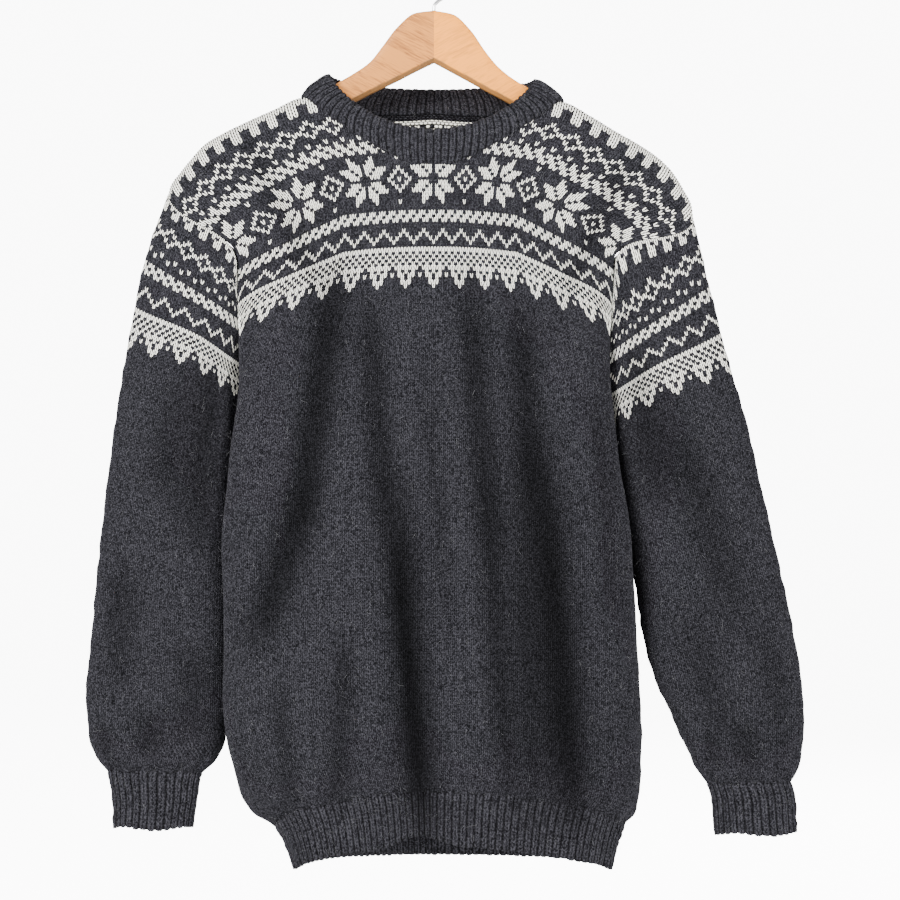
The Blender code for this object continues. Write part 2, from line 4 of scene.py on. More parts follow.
import bmesh
import bpy
import numpy as np
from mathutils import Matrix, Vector


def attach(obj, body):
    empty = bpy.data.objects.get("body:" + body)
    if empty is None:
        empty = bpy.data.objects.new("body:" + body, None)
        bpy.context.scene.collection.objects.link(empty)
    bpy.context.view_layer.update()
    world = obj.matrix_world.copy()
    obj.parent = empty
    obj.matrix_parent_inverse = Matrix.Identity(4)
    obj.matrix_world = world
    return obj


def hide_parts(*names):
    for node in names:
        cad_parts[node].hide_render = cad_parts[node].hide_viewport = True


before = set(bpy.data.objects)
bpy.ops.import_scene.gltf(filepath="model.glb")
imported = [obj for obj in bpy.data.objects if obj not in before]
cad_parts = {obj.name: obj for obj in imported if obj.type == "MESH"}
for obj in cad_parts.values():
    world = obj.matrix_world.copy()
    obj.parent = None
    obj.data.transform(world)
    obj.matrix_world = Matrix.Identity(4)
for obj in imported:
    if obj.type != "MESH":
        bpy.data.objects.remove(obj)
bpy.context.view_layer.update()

mm = 0.001
print("frame loaded")

# the form of the garment, in millimetres, the same as the solids have
# "down" is measured from the row that crosses the shoulders at the neck
form = {
    "shoulderLevel": 134.0,  # that row, below the hook's bend
    "halfCut": 245.0,  # half of a body panel, laid flat
    "neckHalfCut": 110.0,  # half of the neck opening
    "bodyLength": 698.0,
    "hemHeight": 52.0,
    "shoulderSlope": 40.0,
    "armholeDepth": 250.0,
    "frontNeckDepth": 85.0,
    "backNeckDepth": 26.0,
    "drapeLength": 115.0,  # the cloth settles over this length below the shoulder
    "ridgeHalfDepth": 10.5,  # cloth over the top of the hanger
    "ridgeRound": 14.0,
    "neckSettle": 16.0,
    "shoulderSettle": 62.0,
    "sleeveSettle": 150.0,
    "sidePinch": 26.0,
    "middleStretch": 0.05,
    "armSweep": 14.0,  # the hanger's arms reach forwards
    "armReach": 214.0,
    "sweepFade": 320.0,
    "sweepLimit": 1.1,  # cloth past the tips follows up to this share of the reach
    "neckRound": 2.3,  # roundness of the front neck's curve
    "backNeckRound": 4,
    "shallowDepth": 30.0,  # troughs fade where a wall is nearer the middle than this
    "sleeveEven": 420.0,  # a sleeve's rows become even over this length
    "sleeveFall": 2.3,  # how late its first row falls towards the underarm
    "sleeveRound": 0.8,
    "seamGap": 0.3,
}
handSign = {"left": -1.0, "right": 1.0}

shoulder = {
    "along": (0, 110, 133, 155, 176, 195, 209, 226, 237, 245),
    "leftOut": (0, 131, 160, 184, 208, 226, 238, 251, 259, 262),
    "leftDown": (0, 14, 27, 38, 50, 61, 74, 90, 101, 111),
    "rightOut": (0, 128, 156, 180, 204, 221, 235, 247, 254, 256),
    "rightDown": (0, 18, 33, 48, 62, 74, 88, 107, 121, 136),
}

body = {
    "down": (0, 150, 205, 290, 355, 445, 525, 577, 617, 650, 684, 698, 725, 750),
    "left": (216, 214, 205, 209, 216, 223, 221, 222, 216, 204, 180, 158, 146, 139),
    "right": (196, 196, 186, 190, 197, 208, 208, 207, 206, 205, 201, 189, 181, 176),
    "corner": (75, 70, 60, 52, 50, 50, 54, 58, 62, 65, 65, 65, 62, 60),
    "depth": (40, 41, 43, 46, 48, 50, 52, 54, 55, 54, 49, 46, 44, 44),
    "droop": (28, 26, 25, 25, 26, 28, 31, 34, 37, 39, 41, 41, 37, 34),
    "backDown": (0, 0, 0, 1, 3, 7, 11, 14, 17, 19, 21, 22, 23, 26),
    "leftGroove": (0, 3, 10, 26, 26, 26, 26, 24, 17, 8, 0, 0, 0, 0),
    "rightGroove": (0, 3, 10, 24, 24, 18, 8, 3, 0, 0, 0, 0, 0, 0),
    "share": (0.80, 0.80, 0.88, 1, 1, 1, 1, 1, 1, 1, 1, 1, 1, 1),
}

sleeves = {"left": {
    "along": (0, 66, 142, 228, 289, 369, 450, 500, 540, 566, 584),
    "outer": (262, 285, 302, 317, 325, 334, 341, 346, 344, 336, 324),
    "outerDown": (111, 173, 248, 333, 393, 473, 553, 603, 643, 668, 682),
    "inner": (184, 195.5, 201, 204, 204, 203, 204, 205, 209, 218, 234),
    "innerDown": (315, 359, 403, 453, 489, 535, 581, 613, 647, 670, 684),
    "halfDepth": (27, 28, 29, 29, 29, 28, 28, 28, 26, 20, 14),
}, "right": {
    "along": (0, 66, 142, 215, 255, 327, 383, 430, 484, 522, 558, 574),
    "outer": (256, 272, 292, 313, 322, 338, 350, 359, 367, 368, 362, 354),
    "outerDown": (136, 200, 273, 343, 383, 453, 507, 553, 607, 645, 680, 694),
    "inner": (166, 176, 182.5, 189.5, 194.5, 203.5, 209, 221, 238, 251, 265, 275),
    "innerDown": (315, 353, 391, 433, 458, 503, 541, 588, 626, 655, 682, 695),
    "halfDepth": (27, 28, 29, 29, 29, 29, 29, 29, 28, 26, 20, 14),
}}
# the lower end of each cuff: outer and inner edge, level, half depth
cuffEnd = {"left": (318, 242, 739, 14), "right": (361, 283, 745, 14)}

# soft troughs down the cloth: top x, top down, bottom x, bottom down, half width, depth
troughEnd = {"past": 0.3, "over": 0.5}  # how far a trough runs on, and fades, in its own lengths
troughs = {
    "front": (
        (-98, 205, -127, 410, 17, 7.5),
        (-127, 410, -167, 540, 18, 7.0),
        (-62, 240, -48, 420, 14, 5.0),
        (-35, 430, -12, 700, 19, 8.0),
        (-33, 480, -13, 700, 8, 4.5),
        (36, 220, 54, 430, 14, 5.5),
        (85, 240, 98, 400, 16, 6.0),
        (101, 400, 130, 690, 28, 8.0),
        (112, 430, 138, 700, 11, 3.5),
        (86, 500, 98, 700, 9, 2.5),
        (-184, 60, -120, 190, 12, 3.0),
        (190, 80, 128, 215, 12, 3.0),
        (-85, 560, -92, 700, 12, 3.5),
        (-6, 300, 14, 520, 10, 2.0),
        (54, 430, 74, 680, 15, 5.0),
        (-150, 600, -140, 700, 10, 3.0),
        (160, 330, 176, 520, 11, 3.0),
    ),
    "back": (
        (-95, 190, -118, 470, 22, 6.0),
        (20, 260, 8, 520, 18, 5.0),
        (104, 230, 122, 560, 22, 7.0),
        (-56, 400, -34, 700, 20, 5.5),
        (-170, 80, -110, 220, 14, 3.0),
        (172, 90, 116, 240, 14, 3.0),
        (70, 560, 84, 700, 14, 3.5),
        (-150, 480, -140, 690, 12, 3.0),
    ),
}


def curveThrough(table, column):
    # a smooth curve through a table's column that never overshoots it
    places = np.array(next(iter(table.values())), float)
    values = np.array(table[column], float)
    steep = np.diff(values) / np.diff(places)
    before = np.concatenate((steep[:1], steep))
    after = np.concatenate((steep, steep[-1:]))
    same = before * after > 0
    slope = np.where(same, 2 * before * after / np.where(same, before + after, 1), 0)

    def at(x):
        x = np.clip(x, places[0], places[-1])
        k = np.clip(np.searchsorted(places, x, side="right") - 1, 0, len(places) - 2)
        span = places[k + 1] - places[k]
        t = (x - places[k]) / span
        start = values[k] * (1 + 2 * t) * (1 - t) ** 2 + slope[k] * span * t * (1 - t) ** 2
        return start + values[k + 1] * (3 - 2 * t) * t ** 2 - slope[k + 1] * span * t ** 2 * (1 - t)
    return at


def curvesOf(table):
    return {name: curveThrough(table, name) for name in table}


shoulderCurve = curvesOf(shoulder)
bodyCurve = curvesOf(body)
sleeveCurve = {hand: curvesOf(sleeves[hand]) for hand in sleeves}


def ease(t):
    t = np.clip(t, 0.0, 1.0)
    return t * t * (3 - 2 * t)


def mix(a, b, t):
    return a + (b - a) * t


def shoulderTop(u):
    pastNeck = np.maximum(np.abs(u) - form["neckHalfCut"], 0)
    return form["shoulderSlope"] * pastNeck / (form["halfCut"] - form["neckHalfCut"])


def neckEdge(side, u):
    q = np.clip(np.abs(u) / form["neckHalfCut"], 0, 1)
    if side == "front":
        neck = form["frontNeckDepth"] * (1 - q ** form["neckRound"])
    else:
        neck = form["backNeckDepth"] * (1 - q ** form["backNeckRound"])
    return np.where(q < 1, neck, shoulderTop(u))


def armForward(x):
    return form["armSweep"] * np.minimum(np.abs(x) / form["armReach"], form["sweepLimit"])


def fromShoulder(level):
    # a height from a level below the shoulders, or the level from a height
    return -form["shoulderLevel"] - level


def troughDepth(side, x, down):
    depth = np.zeros_like(x)
    for topX, top, bottomX, bottom, halfWidth, deepest in troughs[side]:
        t = (down - top) / (bottom - top)
        across = np.exp(-((x - mix(topX, bottomX, t)) / halfWidth) ** 2)
        starts = ease((t + troughEnd["past"]) / troughEnd["over"])
        depth += deepest * across * starts * ease((1 + troughEnd["past"] - t) / troughEnd["over"])
    return depth


def bodyPlaces(side, u, v):
    # the middle of the wall for places across (u) and down (v) the flat cut
    u, v = np.broadcast_arrays(np.asarray(u, float), np.asarray(v, float))
    onLeft = u < 0
    sign = np.where(onLeft, -1.0, 1.0)
    half = np.where(onLeft, bodyCurve["left"](v), bodyCurve["right"](v))
    depth = bodyCurve["depth"](v)
    corner = bodyCurve["corner"](v)
    flat = half - corner
    quarter = math.pi / 2 * np.sqrt((corner ** 2 + depth ** 2) / 2)
    s = np.abs(u) / form["halfCut"]
    reach = (flat + quarter) * bodyCurve["share"](v) * s * (1 + form["middleStretch"] * (1 - s * s))
    turn = np.maximum(reach - flat, 0) / quarter * math.pi / 2
    x = np.where(reach <= flat, reach, flat + corner * np.sin(turn))
    y = depth * np.cos(turn)
    groove = np.where(onLeft, bodyCurve["leftGroove"](v), bodyCurve["rightGroove"](v))
    x = x - groove * np.exp(-(y / form["sidePinch"]) ** 2) * (x / half) ** 4

    below = np.maximum(v - shoulderTop(u), 0)
    lift = 1 - ease(below / form["drapeLength"])
    ridgeX = np.where(onLeft, shoulderCurve["leftOut"](abs(u)), shoulderCurve["rightOut"](abs(u)))
    ridgeDown = np.where(onLeft, shoulderCurve["leftDown"](abs(u)), shoulderCurve["rightDown"](abs(u)))
    x = mix(x, ridgeX, lift)
    lowDroop = bodyCurve["droop"](v) * s * s
    down = v + lowDroop + (ridgeDown - shoulderTop(u) - lowDroop) * lift
    if side == "back":
        down = down + bodyCurve["backDown"](v) * (1 - s * s)

    ridgeRound = form["ridgeRound"]
    over = np.minimum(below / ridgeRound, 1) * math.pi / 2
    ridgeY = form["ridgeHalfDepth"] * np.sin(over)
    turned = ridgeRound * 2 / math.pi * (1 - np.cos(over))
    saved = np.minimum(below, ridgeRound) - turned
    down = down - saved * (1 - ease((below - ridgeRound) / form["drapeLength"]))
    slowness = mix(form["neckSettle"], form["shoulderSettle"], ease(abs(u) / form["neckHalfCut"]))
    settle = 1 - np.exp(-below / slowness)
    y = np.minimum(ridgeY, y) + np.maximum(y - form["ridgeHalfDepth"], 0) * settle
    y = y - troughDepth(side, sign * x, down) * ease(y / form["shallowDepth"])
    forward = armForward(x) * (1 - ease(below / form["sweepFade"]))
    y = -y if side == "front" else y
    return np.stack((sign * x, y - forward, fromShoulder(down)), axis=-1)


def eitherPanel(onFront, u, v):
    return np.where(onFront[..., None], bodyPlaces("front", u, v), bodyPlaces("back", u, v))


def halfTurn(turn):
    # turn runs 0 to 1 down the front of a sleeve and 1 to 2 up its back
    turn = np.mod(turn, 2.0)
    return np.where(turn <= 1, turn, 2 - turn), turn <= 1


def freeSleevePlaces(hand, turn, along):
    curve = sleeveCurve[hand]
    share, onFront = halfTurn(turn)
    even = (1 - np.cos(math.pi * share)) / 2
    lower = ease(along / form["sleeveEven"])
    across = mix(1 - (1 - share) ** 2, even, lower)
    falls = mix(share ** form["sleeveFall"], even, lower)
    x = mix(curve["outer"](along), curve["inner"](along), across)
    down = mix(curve["outerDown"](along), curve["innerDown"](along), falls)
    depth = curve["halfDepth"](along) * np.sin(math.pi * share) ** form["sleeveRound"]
    forward = armForward(x) * (1 - ease(along / form["sweepFade"]))
    y = np.where(onFront, -1.0, 1.0) * depth - forward
    return np.stack((handSign[hand] * x, y, fromShoulder(down)), axis=-1)


def armholePlaces(hand, turn):
    share, onFront = halfTurn(turn)
    u = handSign[hand] * form["halfCut"]
    return eitherPanel(onFront, u, form["shoulderSlope"] + form["armholeDepth"] * share)


def sleevePlaces(hand, turn, along):
    turn, along = np.broadcast_arrays(np.asarray(turn, float), np.asarray(along, float))
    along = np.maximum(along, 0)
    places = freeSleevePlaces(hand, turn, along)
    offset = armholePlaces(hand, turn) - freeSleevePlaces(hand, turn, along * 0)
    places = places + offset * (1 - ease(along / form["sleeveSettle"]))[..., None]
    return places + sleeveCreases(hand, turn, along)


# creases of the sleeves: turn round the sleeve, its half width, along it from and to, depth
foldFade = 0.35  # share of a crease's length over which it starts or ends
sleeveFolds = {
    "left": (
        (0.62, 0.13, 60, 330, 4.0),
        (0.40, 0.10, 130, 300, 2.5),
        (0.30, 0.10, 330, 520, 2.5),
        (0.68, 0.10, 400, 575, 2.5),
        (0.48, 0.07, 500, 575, 3.0),
        (0.22, 0.06, 520, 578, 2.5),
        (1.55, 0.12, 100, 420, 4.0),
        (1.35, 0.10, 380, 560, 3.0),
    ),
    "right": (
        (0.60, 0.13, 50, 280, 4.0),
        (0.42, 0.11, 120, 450, 3.0),
        (0.62, 0.10, 340, 560, 2.5),
        (0.30, 0.09, 380, 568, 2.2),
        (0.50, 0.07, 490, 568, 3.0),
        (0.72, 0.06, 500, 568, 2.5),
        (1.50, 0.12, 100, 400, 4.0),
        (1.66, 0.10, 360, 550, 3.0),
    ),
}


foldLight = {"depth": 7.0, "least": 0.18}


def foldShade(depth):
    # less light reaches the bottom of a fold
    return np.maximum(np.exp(-depth / foldLight["depth"]), foldLight["least"])


def sleeveCreases(hand, turn, along):
    turn = np.mod(turn, 2.0)
    depth = np.zeros_like(turn)
    for place, halfWidth, start, end, deepest in sleeveFolds[hand]:
        t = (along - start) / (end - start)
        across = np.exp(-((turn - place) / halfWidth) ** 2)
        depth += deepest * across * ease(t / foldFade) * ease((1 - t) / foldFade)
    inward = np.where(turn <= 1, depth, -depth)
    return np.stack((inward * 0, inward, inward * 0), axis=-1)


def unit(vectors):
    return vectors / np.maximum(np.linalg.norm(vectors, axis=-1, keepdims=True), 1e-9)


def normalsOf(place, a, b, stepA, stepB, sign):
    # outward normals of a mapped surface
    acrossWay = place(a + stepA, b) - place(a - stepA, b)
    downWay = place(a, b + stepB) - place(a, b - stepB)
    return sign * unit(np.cross(acrossWay, downWay))


# yarns
yarn = {
    "charcoal": (0.0022, 0.0022, 0.0029),
    "charcoalLight": (0.0375, 0.0368, 0.0435),
    "white": (0.93, 0.90, 0.79),
    "whiteLight": (0.99, 0.98, 0.93),
    "fibre": 620.0,  # flecks a metre
    "fleckRange": (0.46, 0.62),
    "fleckShare": 0.9,
    "legTone": 0.24,  # how much one leg's tone differs from the next one's
    "patches": 30.0,  # patches of tone a metre
    "patchTone": 0.08,
    "lean": (0.34, 0.33),  # slant of a stitch's leg, and where it starts
    "endRound": (4.0, 0.5),  # how sharply its ends close
    "purlOval": (0.43, 0.38),  # half width and half height of a stitch on the inside
    "litFrom": 0.55,  # roundness at which a stitch is out of its gap's shade
    "strandShare": 0.55,
    "pile": 0.0009,  # height of a stitch's roundness in metres
    "yokeRow": 137.0,  # above this row the inside shows the white strands
    "neckRows": (184.0, 186.0),  # and between these two they show all along
    "looseFibre": (0.14, 0.14, 0.145),
}


def link(tree, start, output, end, entry):
    tree.links.new(start.outputs[output], end.inputs[entry])


def newMaterial(name):
    material = bpy.data.materials.new(name)
    material.use_nodes = True
    return material, material.node_tree, material.node_tree.nodes["Principled BSDF"]


def addObject(name, data):
    added = bpy.data.objects.new(name, data)
    bpy.context.scene.collection.objects.link(added)
    return added


def mathNode(tree, operation, first, second=None, third=None):
    node = tree.nodes.new("ShaderNodeMath")
    node.operation = operation
    for entry, value in enumerate((first, second, third)):
        if value is None:
            continue
        if isinstance(value, (int, float)):
            node.inputs[entry].default_value = value
        else:
            tree.links.new(value, node.inputs[entry])
    return node.outputs[0]


def mixColour(tree, factor, first, second, blend="MIX"):
    node = tree.nodes.new("ShaderNodeMix")
    node.data_type = "RGBA"
    node.blend_type = blend
    for entry, value in (("Factor", factor), ("A", first), ("B", second)):
        if isinstance(value, tuple):
            node.inputs[entry].default_value = (*value, 1)
        elif isinstance(value, (int, float)):
            node.inputs[entry].default_value = value
        else:
            tree.links.new(value, node.inputs[entry])
    return node.outputs["Result"]


def noiseNode(tree, coordinate, scale, detail, roughness=0.5):
    node = tree.nodes.new("ShaderNodeTexNoise")
    node.inputs["Scale"].default_value = scale
    node.inputs["Detail"].default_value = detail
    node.inputs["Roughness"].default_value = roughness
    tree.links.new(coordinate, node.inputs["Vector"])
    return node.outputs["Fac"]


def rangeNode(tree, value, low, high, bottom, top):
    node = tree.nodes.new("ShaderNodeMapRange")
    tree.links.new(value, node.inputs["Value"])
    for entry, number in zip(("From Min", "From Max", "To Min", "To Max"), (low, high, bottom, top)):
        node.inputs[entry].default_value = number
    return node.outputs[0]


def attributeNode(tree, name):
    node = tree.nodes.new("ShaderNodeAttribute")
    node.attribute_name = name
    return node.outputs["Fac"]


def bumpNode(tree, shader, height, strength, distance):
    bump = tree.nodes.new("ShaderNodeBump")
    bump.inputs["Strength"].default_value = strength
    bump.inputs["Distance"].default_value = distance
    tree.links.new(height, bump.inputs["Height"])
    link(tree, bump, "Normal", shader, "Normal")


def woolMaterial(name, base, light, flecks, gapShade, legWidth=0.44, legReach=0.5, strands=False):
    # each stitch is two slanting legs: flecked fibre, a tone for each leg, shade in the gaps
    material, tree, shader = newMaterial(name)
    calc = partial(mathNode, tree)
    knitUv = tree.nodes.new("ShaderNodeUVMap")
    knitUv.uv_map = "knit"
    objectPlace = tree.nodes.new("ShaderNodeTexCoord").outputs["Object"]
    apart = tree.nodes.new("ShaderNodeSeparateXYZ")
    link(tree, knitUv, "UV", apart, "Vector")
    across, upward = apart.outputs[0], apart.outputs[1]

    rowPart = calc("SUBTRACT", 1.0, calc("FRACT", upward))
    if strands:  # purl side: rows of ovals, each row half a stitch along
        halfWidth, halfHeight = yarn["purlOval"]
        shifted = calc("MULTIPLY_ADD", calc("FLOOR", upward), 0.5, across)
        fromAxis = calc("SUBTRACT", calc("FRACT", shifted), 0.5)
        fromAxis = calc("DIVIDE", fromAxis, halfWidth)
        ends = calc("DIVIDE", calc("SUBTRACT", rowPart, 0.5), halfHeight)
        ends = calc("MULTIPLY", ends, ends)
    else:
        middle = calc("SUBTRACT", calc("FRACT", across), 0.5)
        toMiddle = calc("DIVIDE", calc("ABSOLUTE", middle), -legReach)
        toMiddle = calc("ADD", toMiddle, 1.0)
        axis = calc("MULTIPLY_ADD", rowPart, *yarn["lean"])
        fromAxis = calc("DIVIDE", calc("SUBTRACT", toMiddle, axis), legWidth)
        power, depth = yarn["endRound"]
        ends = calc("ABSOLUTE", calc("MULTIPLY_ADD", rowPart, 2.0, -1.0))
        ends = calc("MULTIPLY", calc("POWER", ends, power), depth)
    roundness = calc("SUBTRACT", 1.0, calc("MULTIPLY", fromAxis, fromAxis))
    plump = calc("SQRT", calc("MAXIMUM", calc("SUBTRACT", roundness, ends), 0.0))

    cell = tree.nodes.new("ShaderNodeCombineXYZ")
    tree.links.new(calc("FLOOR", calc("MULTIPLY", across, 2.0)), cell.inputs[0])
    tree.links.new(calc("FLOOR", upward), cell.inputs[1])
    chance = tree.nodes.new("ShaderNodeTexWhiteNoise")
    chance.noise_dimensions = "2D"
    link(tree, cell, "Vector", chance, "Vector")
    chance = chance.outputs["Value"]

    fleck = noiseNode(tree, objectPlace, yarn["fibre"], 3.0, 0.7)
    patch = noiseNode(tree, objectPlace, yarn["patches"], 2.0)
    share = rangeNode(tree, fleck, *yarn["fleckRange"], 0.0, yarn["fleckShare"] * flecks)
    tone = calc("MULTIPLY", chance, yarn["legTone"] * flecks)
    tone = calc("MULTIPLY_ADD", patch, yarn["patchTone"] * flecks, tone)
    colour = mixColour(tree, calc("ADD", share, tone), base, light)
    if strands:
        neckStart, neckEnd = yarn["neckRows"]
        below = calc("LESS_THAN", upward, neckEnd)
        inYoke = calc("MULTIPLY", calc("GREATER_THAN", upward, yarn["yokeRow"]), below)
        atNeck = calc("MULTIPLY", calc("GREATER_THAN", upward, neckStart), below)
        picked = calc("GREATER_THAN", chance, yarn["strandShare"])
        strand = calc("MAXIMUM", calc("MULTIPLY", inYoke, picked), atNeck)
        colour = mixColour(tree, strand, colour, yarn["white"])
    shade = rangeNode(tree, plump, 0.0, yarn["litFrom"], gapShade, 1.0)
    shade = calc("MULTIPLY", shade, attributeNode(tree, "foldShade"))
    tree.links.new(mixColour(tree, 1.0, colour, shade, "MULTIPLY"), shader.inputs["Base Color"])
    bumpNode(tree, shader, calc("MULTIPLY_ADD", fleck, 0.5, plump), 0.6, yarn["pile"])

    shader.inputs["Roughness"].default_value = 0.95
    shader.inputs["Specular IOR Level"].default_value = 0.03
    shader.inputs["Sheen Weight"].default_value = 0.015
    shader.inputs["Sheen Roughness"].default_value = 0.5
    return material


charcoalWool = woolMaterial("charcoalWool", yarn["charcoal"], yarn["charcoalLight"], 1.0, 0.35)
whiteWool = woolMaterial("whiteWool", yarn["white"], yarn["whiteLight"], 0.8, 0.02, legWidth=0.29)
insideWool = woolMaterial("insideWool", yarn["charcoal"], yarn["charcoalLight"], 0.9, 0.05, strands=True)
ribWool = woolMaterial("ribWool", yarn["charcoal"], yarn["charcoalLight"], 1.22, 0.32, legReach=0.44)
print("yarns ready")

# charts: "#" is a white stitch, each row of text a knitted row
def petalStar(reach, period):
    # works the star's rows out: eight slanting petals round a hollow cross, a diamond between
    rows = []
    for y in range(-2 * reach, 2 * reach + 1):
        row = ""
        for x in range(-(period // 2), period - period // 2):
            a, b = abs(x), abs(y)
            low, high = min(a, b), max(a, b)
            petal = 1 <= low <= reach and low + 1 <= high <= low + reach
            gap = abs(abs(x) - period // 2)
            diamond = gap + b == reach or gap + b == 0
            speck = b == 2 * reach and gap == 0
            row += "#" if petal or diamond or speck else "."
        rows.append(row)
    return rows


latticeBand = (
    "..#....#..",
    ".#.#..#.#.",
    "#...##...#",
    ".#.#..#.#.",
    "..#....#..",
)
zigzagBand = (
    "#.....",
    ".#...#",
    "..#.#.",
    "...#..",
)
seedRows = ("#.", ".#", "#.", ".#")
liceRows = ("#...", "..#.")
ropeBand = (".##", "#.#", "##.")
ropeBack = ("##.", "#.#", ".##")
pointBand = (
    ".#######",
    "..#.#.#.",
    "#.##.##.",
    "...#.#..",
    "...###..",
    "....#...",
)
yokeChart = (  # first row of each band, counted from the shoulder
    (0, ("#.", ".#", "#", "#", "##..", "##..", "##..")),
    (9, latticeBand),
    (15, liceRows),
    (17, ropeBand),
    (21, petalStar(3, 20)),
    (36, ropeBack),
    (41, zigzagBand),
    (46, ("#",)),
    (47, seedRows),
    (51, pointBand),
)
sleeveChart = (  # counted from the armhole
    (0, ("#", "#.", "##..", "##..")),
    (7, latticeBand),
    (14, liceRows),
    (18, ropeBand),
    (24, zigzagBand),
    (30, ("#",)),
    (31, seedRows),
    (35, pointBand),
)


def whiteStitches(chart, stitchNumber, rowNumber):
    # which stitches are white, for numbers counted from the middle and from the first row
    white = np.zeros(np.broadcast(stitchNumber, rowNumber).shape, bool)
    stitchNumber, rowNumber = np.broadcast_arrays(stitchNumber, rowNumber)
    for first, band in chart:
        for k, text in enumerate(band):
            period = len(text)
            letters = np.array([letter == "#" for letter in text])
            white |= (rowNumber == first + k) & letters[(stitchNumber + period // 2) % period]
    return white


# cloth from grids
def clothFromGrid(name, places, uvs, slots, materials, shade=None):
    # a grid is moved into place, merged where it meets itself, and its ends are filled
    rows, columns = places.shape[:2]
    bm = bmesh.new()
    bmesh.ops.create_grid(bm, x_segments=columns - 1, y_segments=rows - 1, size=0.5)
    for vert, place in zip(bm.verts, (places.reshape(-1, 3) * mm).tolist()):
        vert.co = place
    mesh = bpy.data.meshes.new(name)
    bm.to_mesh(mesh)
    bm.free()
    corner = np.empty(len(mesh.loops), dtype=np.int32)
    mesh.loops.foreach_get("vertex_index", corner)
    layer = mesh.uv_layers.new(name="knit")
    layer.data.foreach_set("uv", uvs.reshape(-1, 2)[corner].ravel())
    if shade is not None:
        layer = mesh.attributes.new("foldShade", "FLOAT", "POINT")
        layer.data.foreach_set("value", shade.astype(np.float32).ravel())
    first = corner.reshape(-1, 4).min(axis=1)
    slotOfFace = slots[first // columns, first % columns].astype(np.int32)
    mesh.polygons.foreach_set("material_index", slotOfFace)

    bm = bmesh.new()
    bm.from_mesh(mesh)
    bmesh.ops.remove_doubles(bm, verts=bm.verts, dist=0.00001)
    bmesh.ops.dissolve_degenerate(bm, dist=0.000005, edges=bm.edges)
    openEdges = [edge for edge in bm.edges if edge.is_boundary]
    bmesh.ops.holes_fill(bm, edges=openEdges, sides=0)
    bmesh.ops.recalc_face_normals(bm, faces=bm.faces)
    bm.to_mesh(mesh)
    bm.free()
    mesh.shade_smooth()
    for material in materials:
        mesh.materials.append(material)
    piece = addObject(name, mesh)
    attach(piece, "root")
    return piece


liningStep = 8  # mesh columns of the outside for one of the lining
stocking = {
    "cell": 4,  # mesh columns for one stitch
    "rise": np.array((-0.5, -0.25, 0.0, -0.25)),  # the V of a stitch, in rows
    "relief": np.array((-0.42, 0.40, -0.28, 0.40)),  # and its height, in millimetres
    "width": 4.08,
    "halfWall": 1.2,
    "uneven": 0.22,  # hand knitting: each leg is plumper or thinner
}


def handKnitRelief(phase, column, rowCount, seed):
    # the height of each mesh column in each row, a little different from leg to leg
    random = np.random.default_rng(seed)
    legs = random.normal(1.0, stocking["uneven"], (rowCount, int(column.max() // 2) + 3))
    between = np.where(phase % 2 == 1, column // 2, 0)
    plump = np.where(phase % 2 == 1, legs[:, between], 1.0)
    return stocking["relief"][phase][None, :] * plump


uneven = {"patches": 0.7, "edges": 0.42}


def handUneven(a, b, edge):
    # soft unevenness of hand knitting: patches a few centimetres wide, and bumps down the edges
    patches = np.sin(a / 17 + 1.3 * np.sin(b / 41)) * np.sin(b / 23 + 1.1 * np.sin(a / 29))
    bumps = np.sin(b / 6.5 + 2.0 * np.sin(b / 31)) + 0.5 * np.sin(b / 3.1)
    return uneven["patches"] * patches * (1 - edge) + uneven["edges"] * bumps * edge


def triangles(piece):
    return sum(len(face.vertices) - 2 for face in piece.data.polygons)


def stitchGrid(column, rows, liningRows):
    # the outside from its first row to its last, the lining back up, and the first row again:
    # the column and row of each mesh point, the same with straight rows, and which skin it is in
    liningRow = np.linspace(rows, 0, liningRows)[:, None] + 0 * column
    straight = np.arange(rows + 1)[:, None] + 0 * column
    outer = np.clip(straight + stocking["rise"][column % stocking["cell"]], 0, rows)
    outer[-1] = rows
    # the lining needs fewer columns: the ones between are drawn together and merge
    coarse = column.min() + np.round((column - column.min()) / liningStep) * liningStep
    coarse = np.minimum(coarse, column.max())
    columnAt = np.vstack((straight * 0 + column, np.tile(coarse, (liningRows, 1)), column))
    skin = np.where(np.arange(rows + liningRows + 2) <= rows, 1.0, -1.0)
    skin[-1] = 1.0
    rowAt = np.vstack((outer, liningRow, outer[:1]))
    return columnAt, rowAt, np.vstack((straight, liningRow, straight[:1])), skin[:, None]


def wallOffset(column, skin, seed, kept=1):
    # how far each mesh point lies from the middle of the wall
    relief = handKnitRelief(column % stocking["cell"], column - column.min(), len(skin), seed) * kept
    relief[-1] = relief[0]
    return skin * stocking["halfWall"] + (skin > 0) * relief


def knitPiece(name, node, chart, stitchNumber, rows, columnAt, wholeRow, places, shade):
    # charts colour the outside, and the lining has the purl side
    white = whiteStitches(chart, stitchNumber[None, :], np.arange(len(wholeRow) - 1)[:, None])
    slots = np.where(white, 1, 0)
    slots[rows:] = 2
    slots = np.hstack((slots, slots[:, -1:]))
    uvs = np.stack((columnAt / stocking["cell"], rows - wholeRow), axis=-1)
    piece = clothFromGrid(name, places, uvs, slots, (charcoalWool, whiteWool, insideWool), shade)
    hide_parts(node)
    return piece


panelSize = {
    "stitches": 121,
    "rows": 194,
    "liningRows": 42,
    "gatherPitch": 23.0,  # small waves where the hem rib draws the cloth in
    "gatherHeight": 0.8,
    "gatherReach": 48.0,
    "evenUntil": (60.0, 80.0),  # unevenness starts this far down, and grows over this length
}


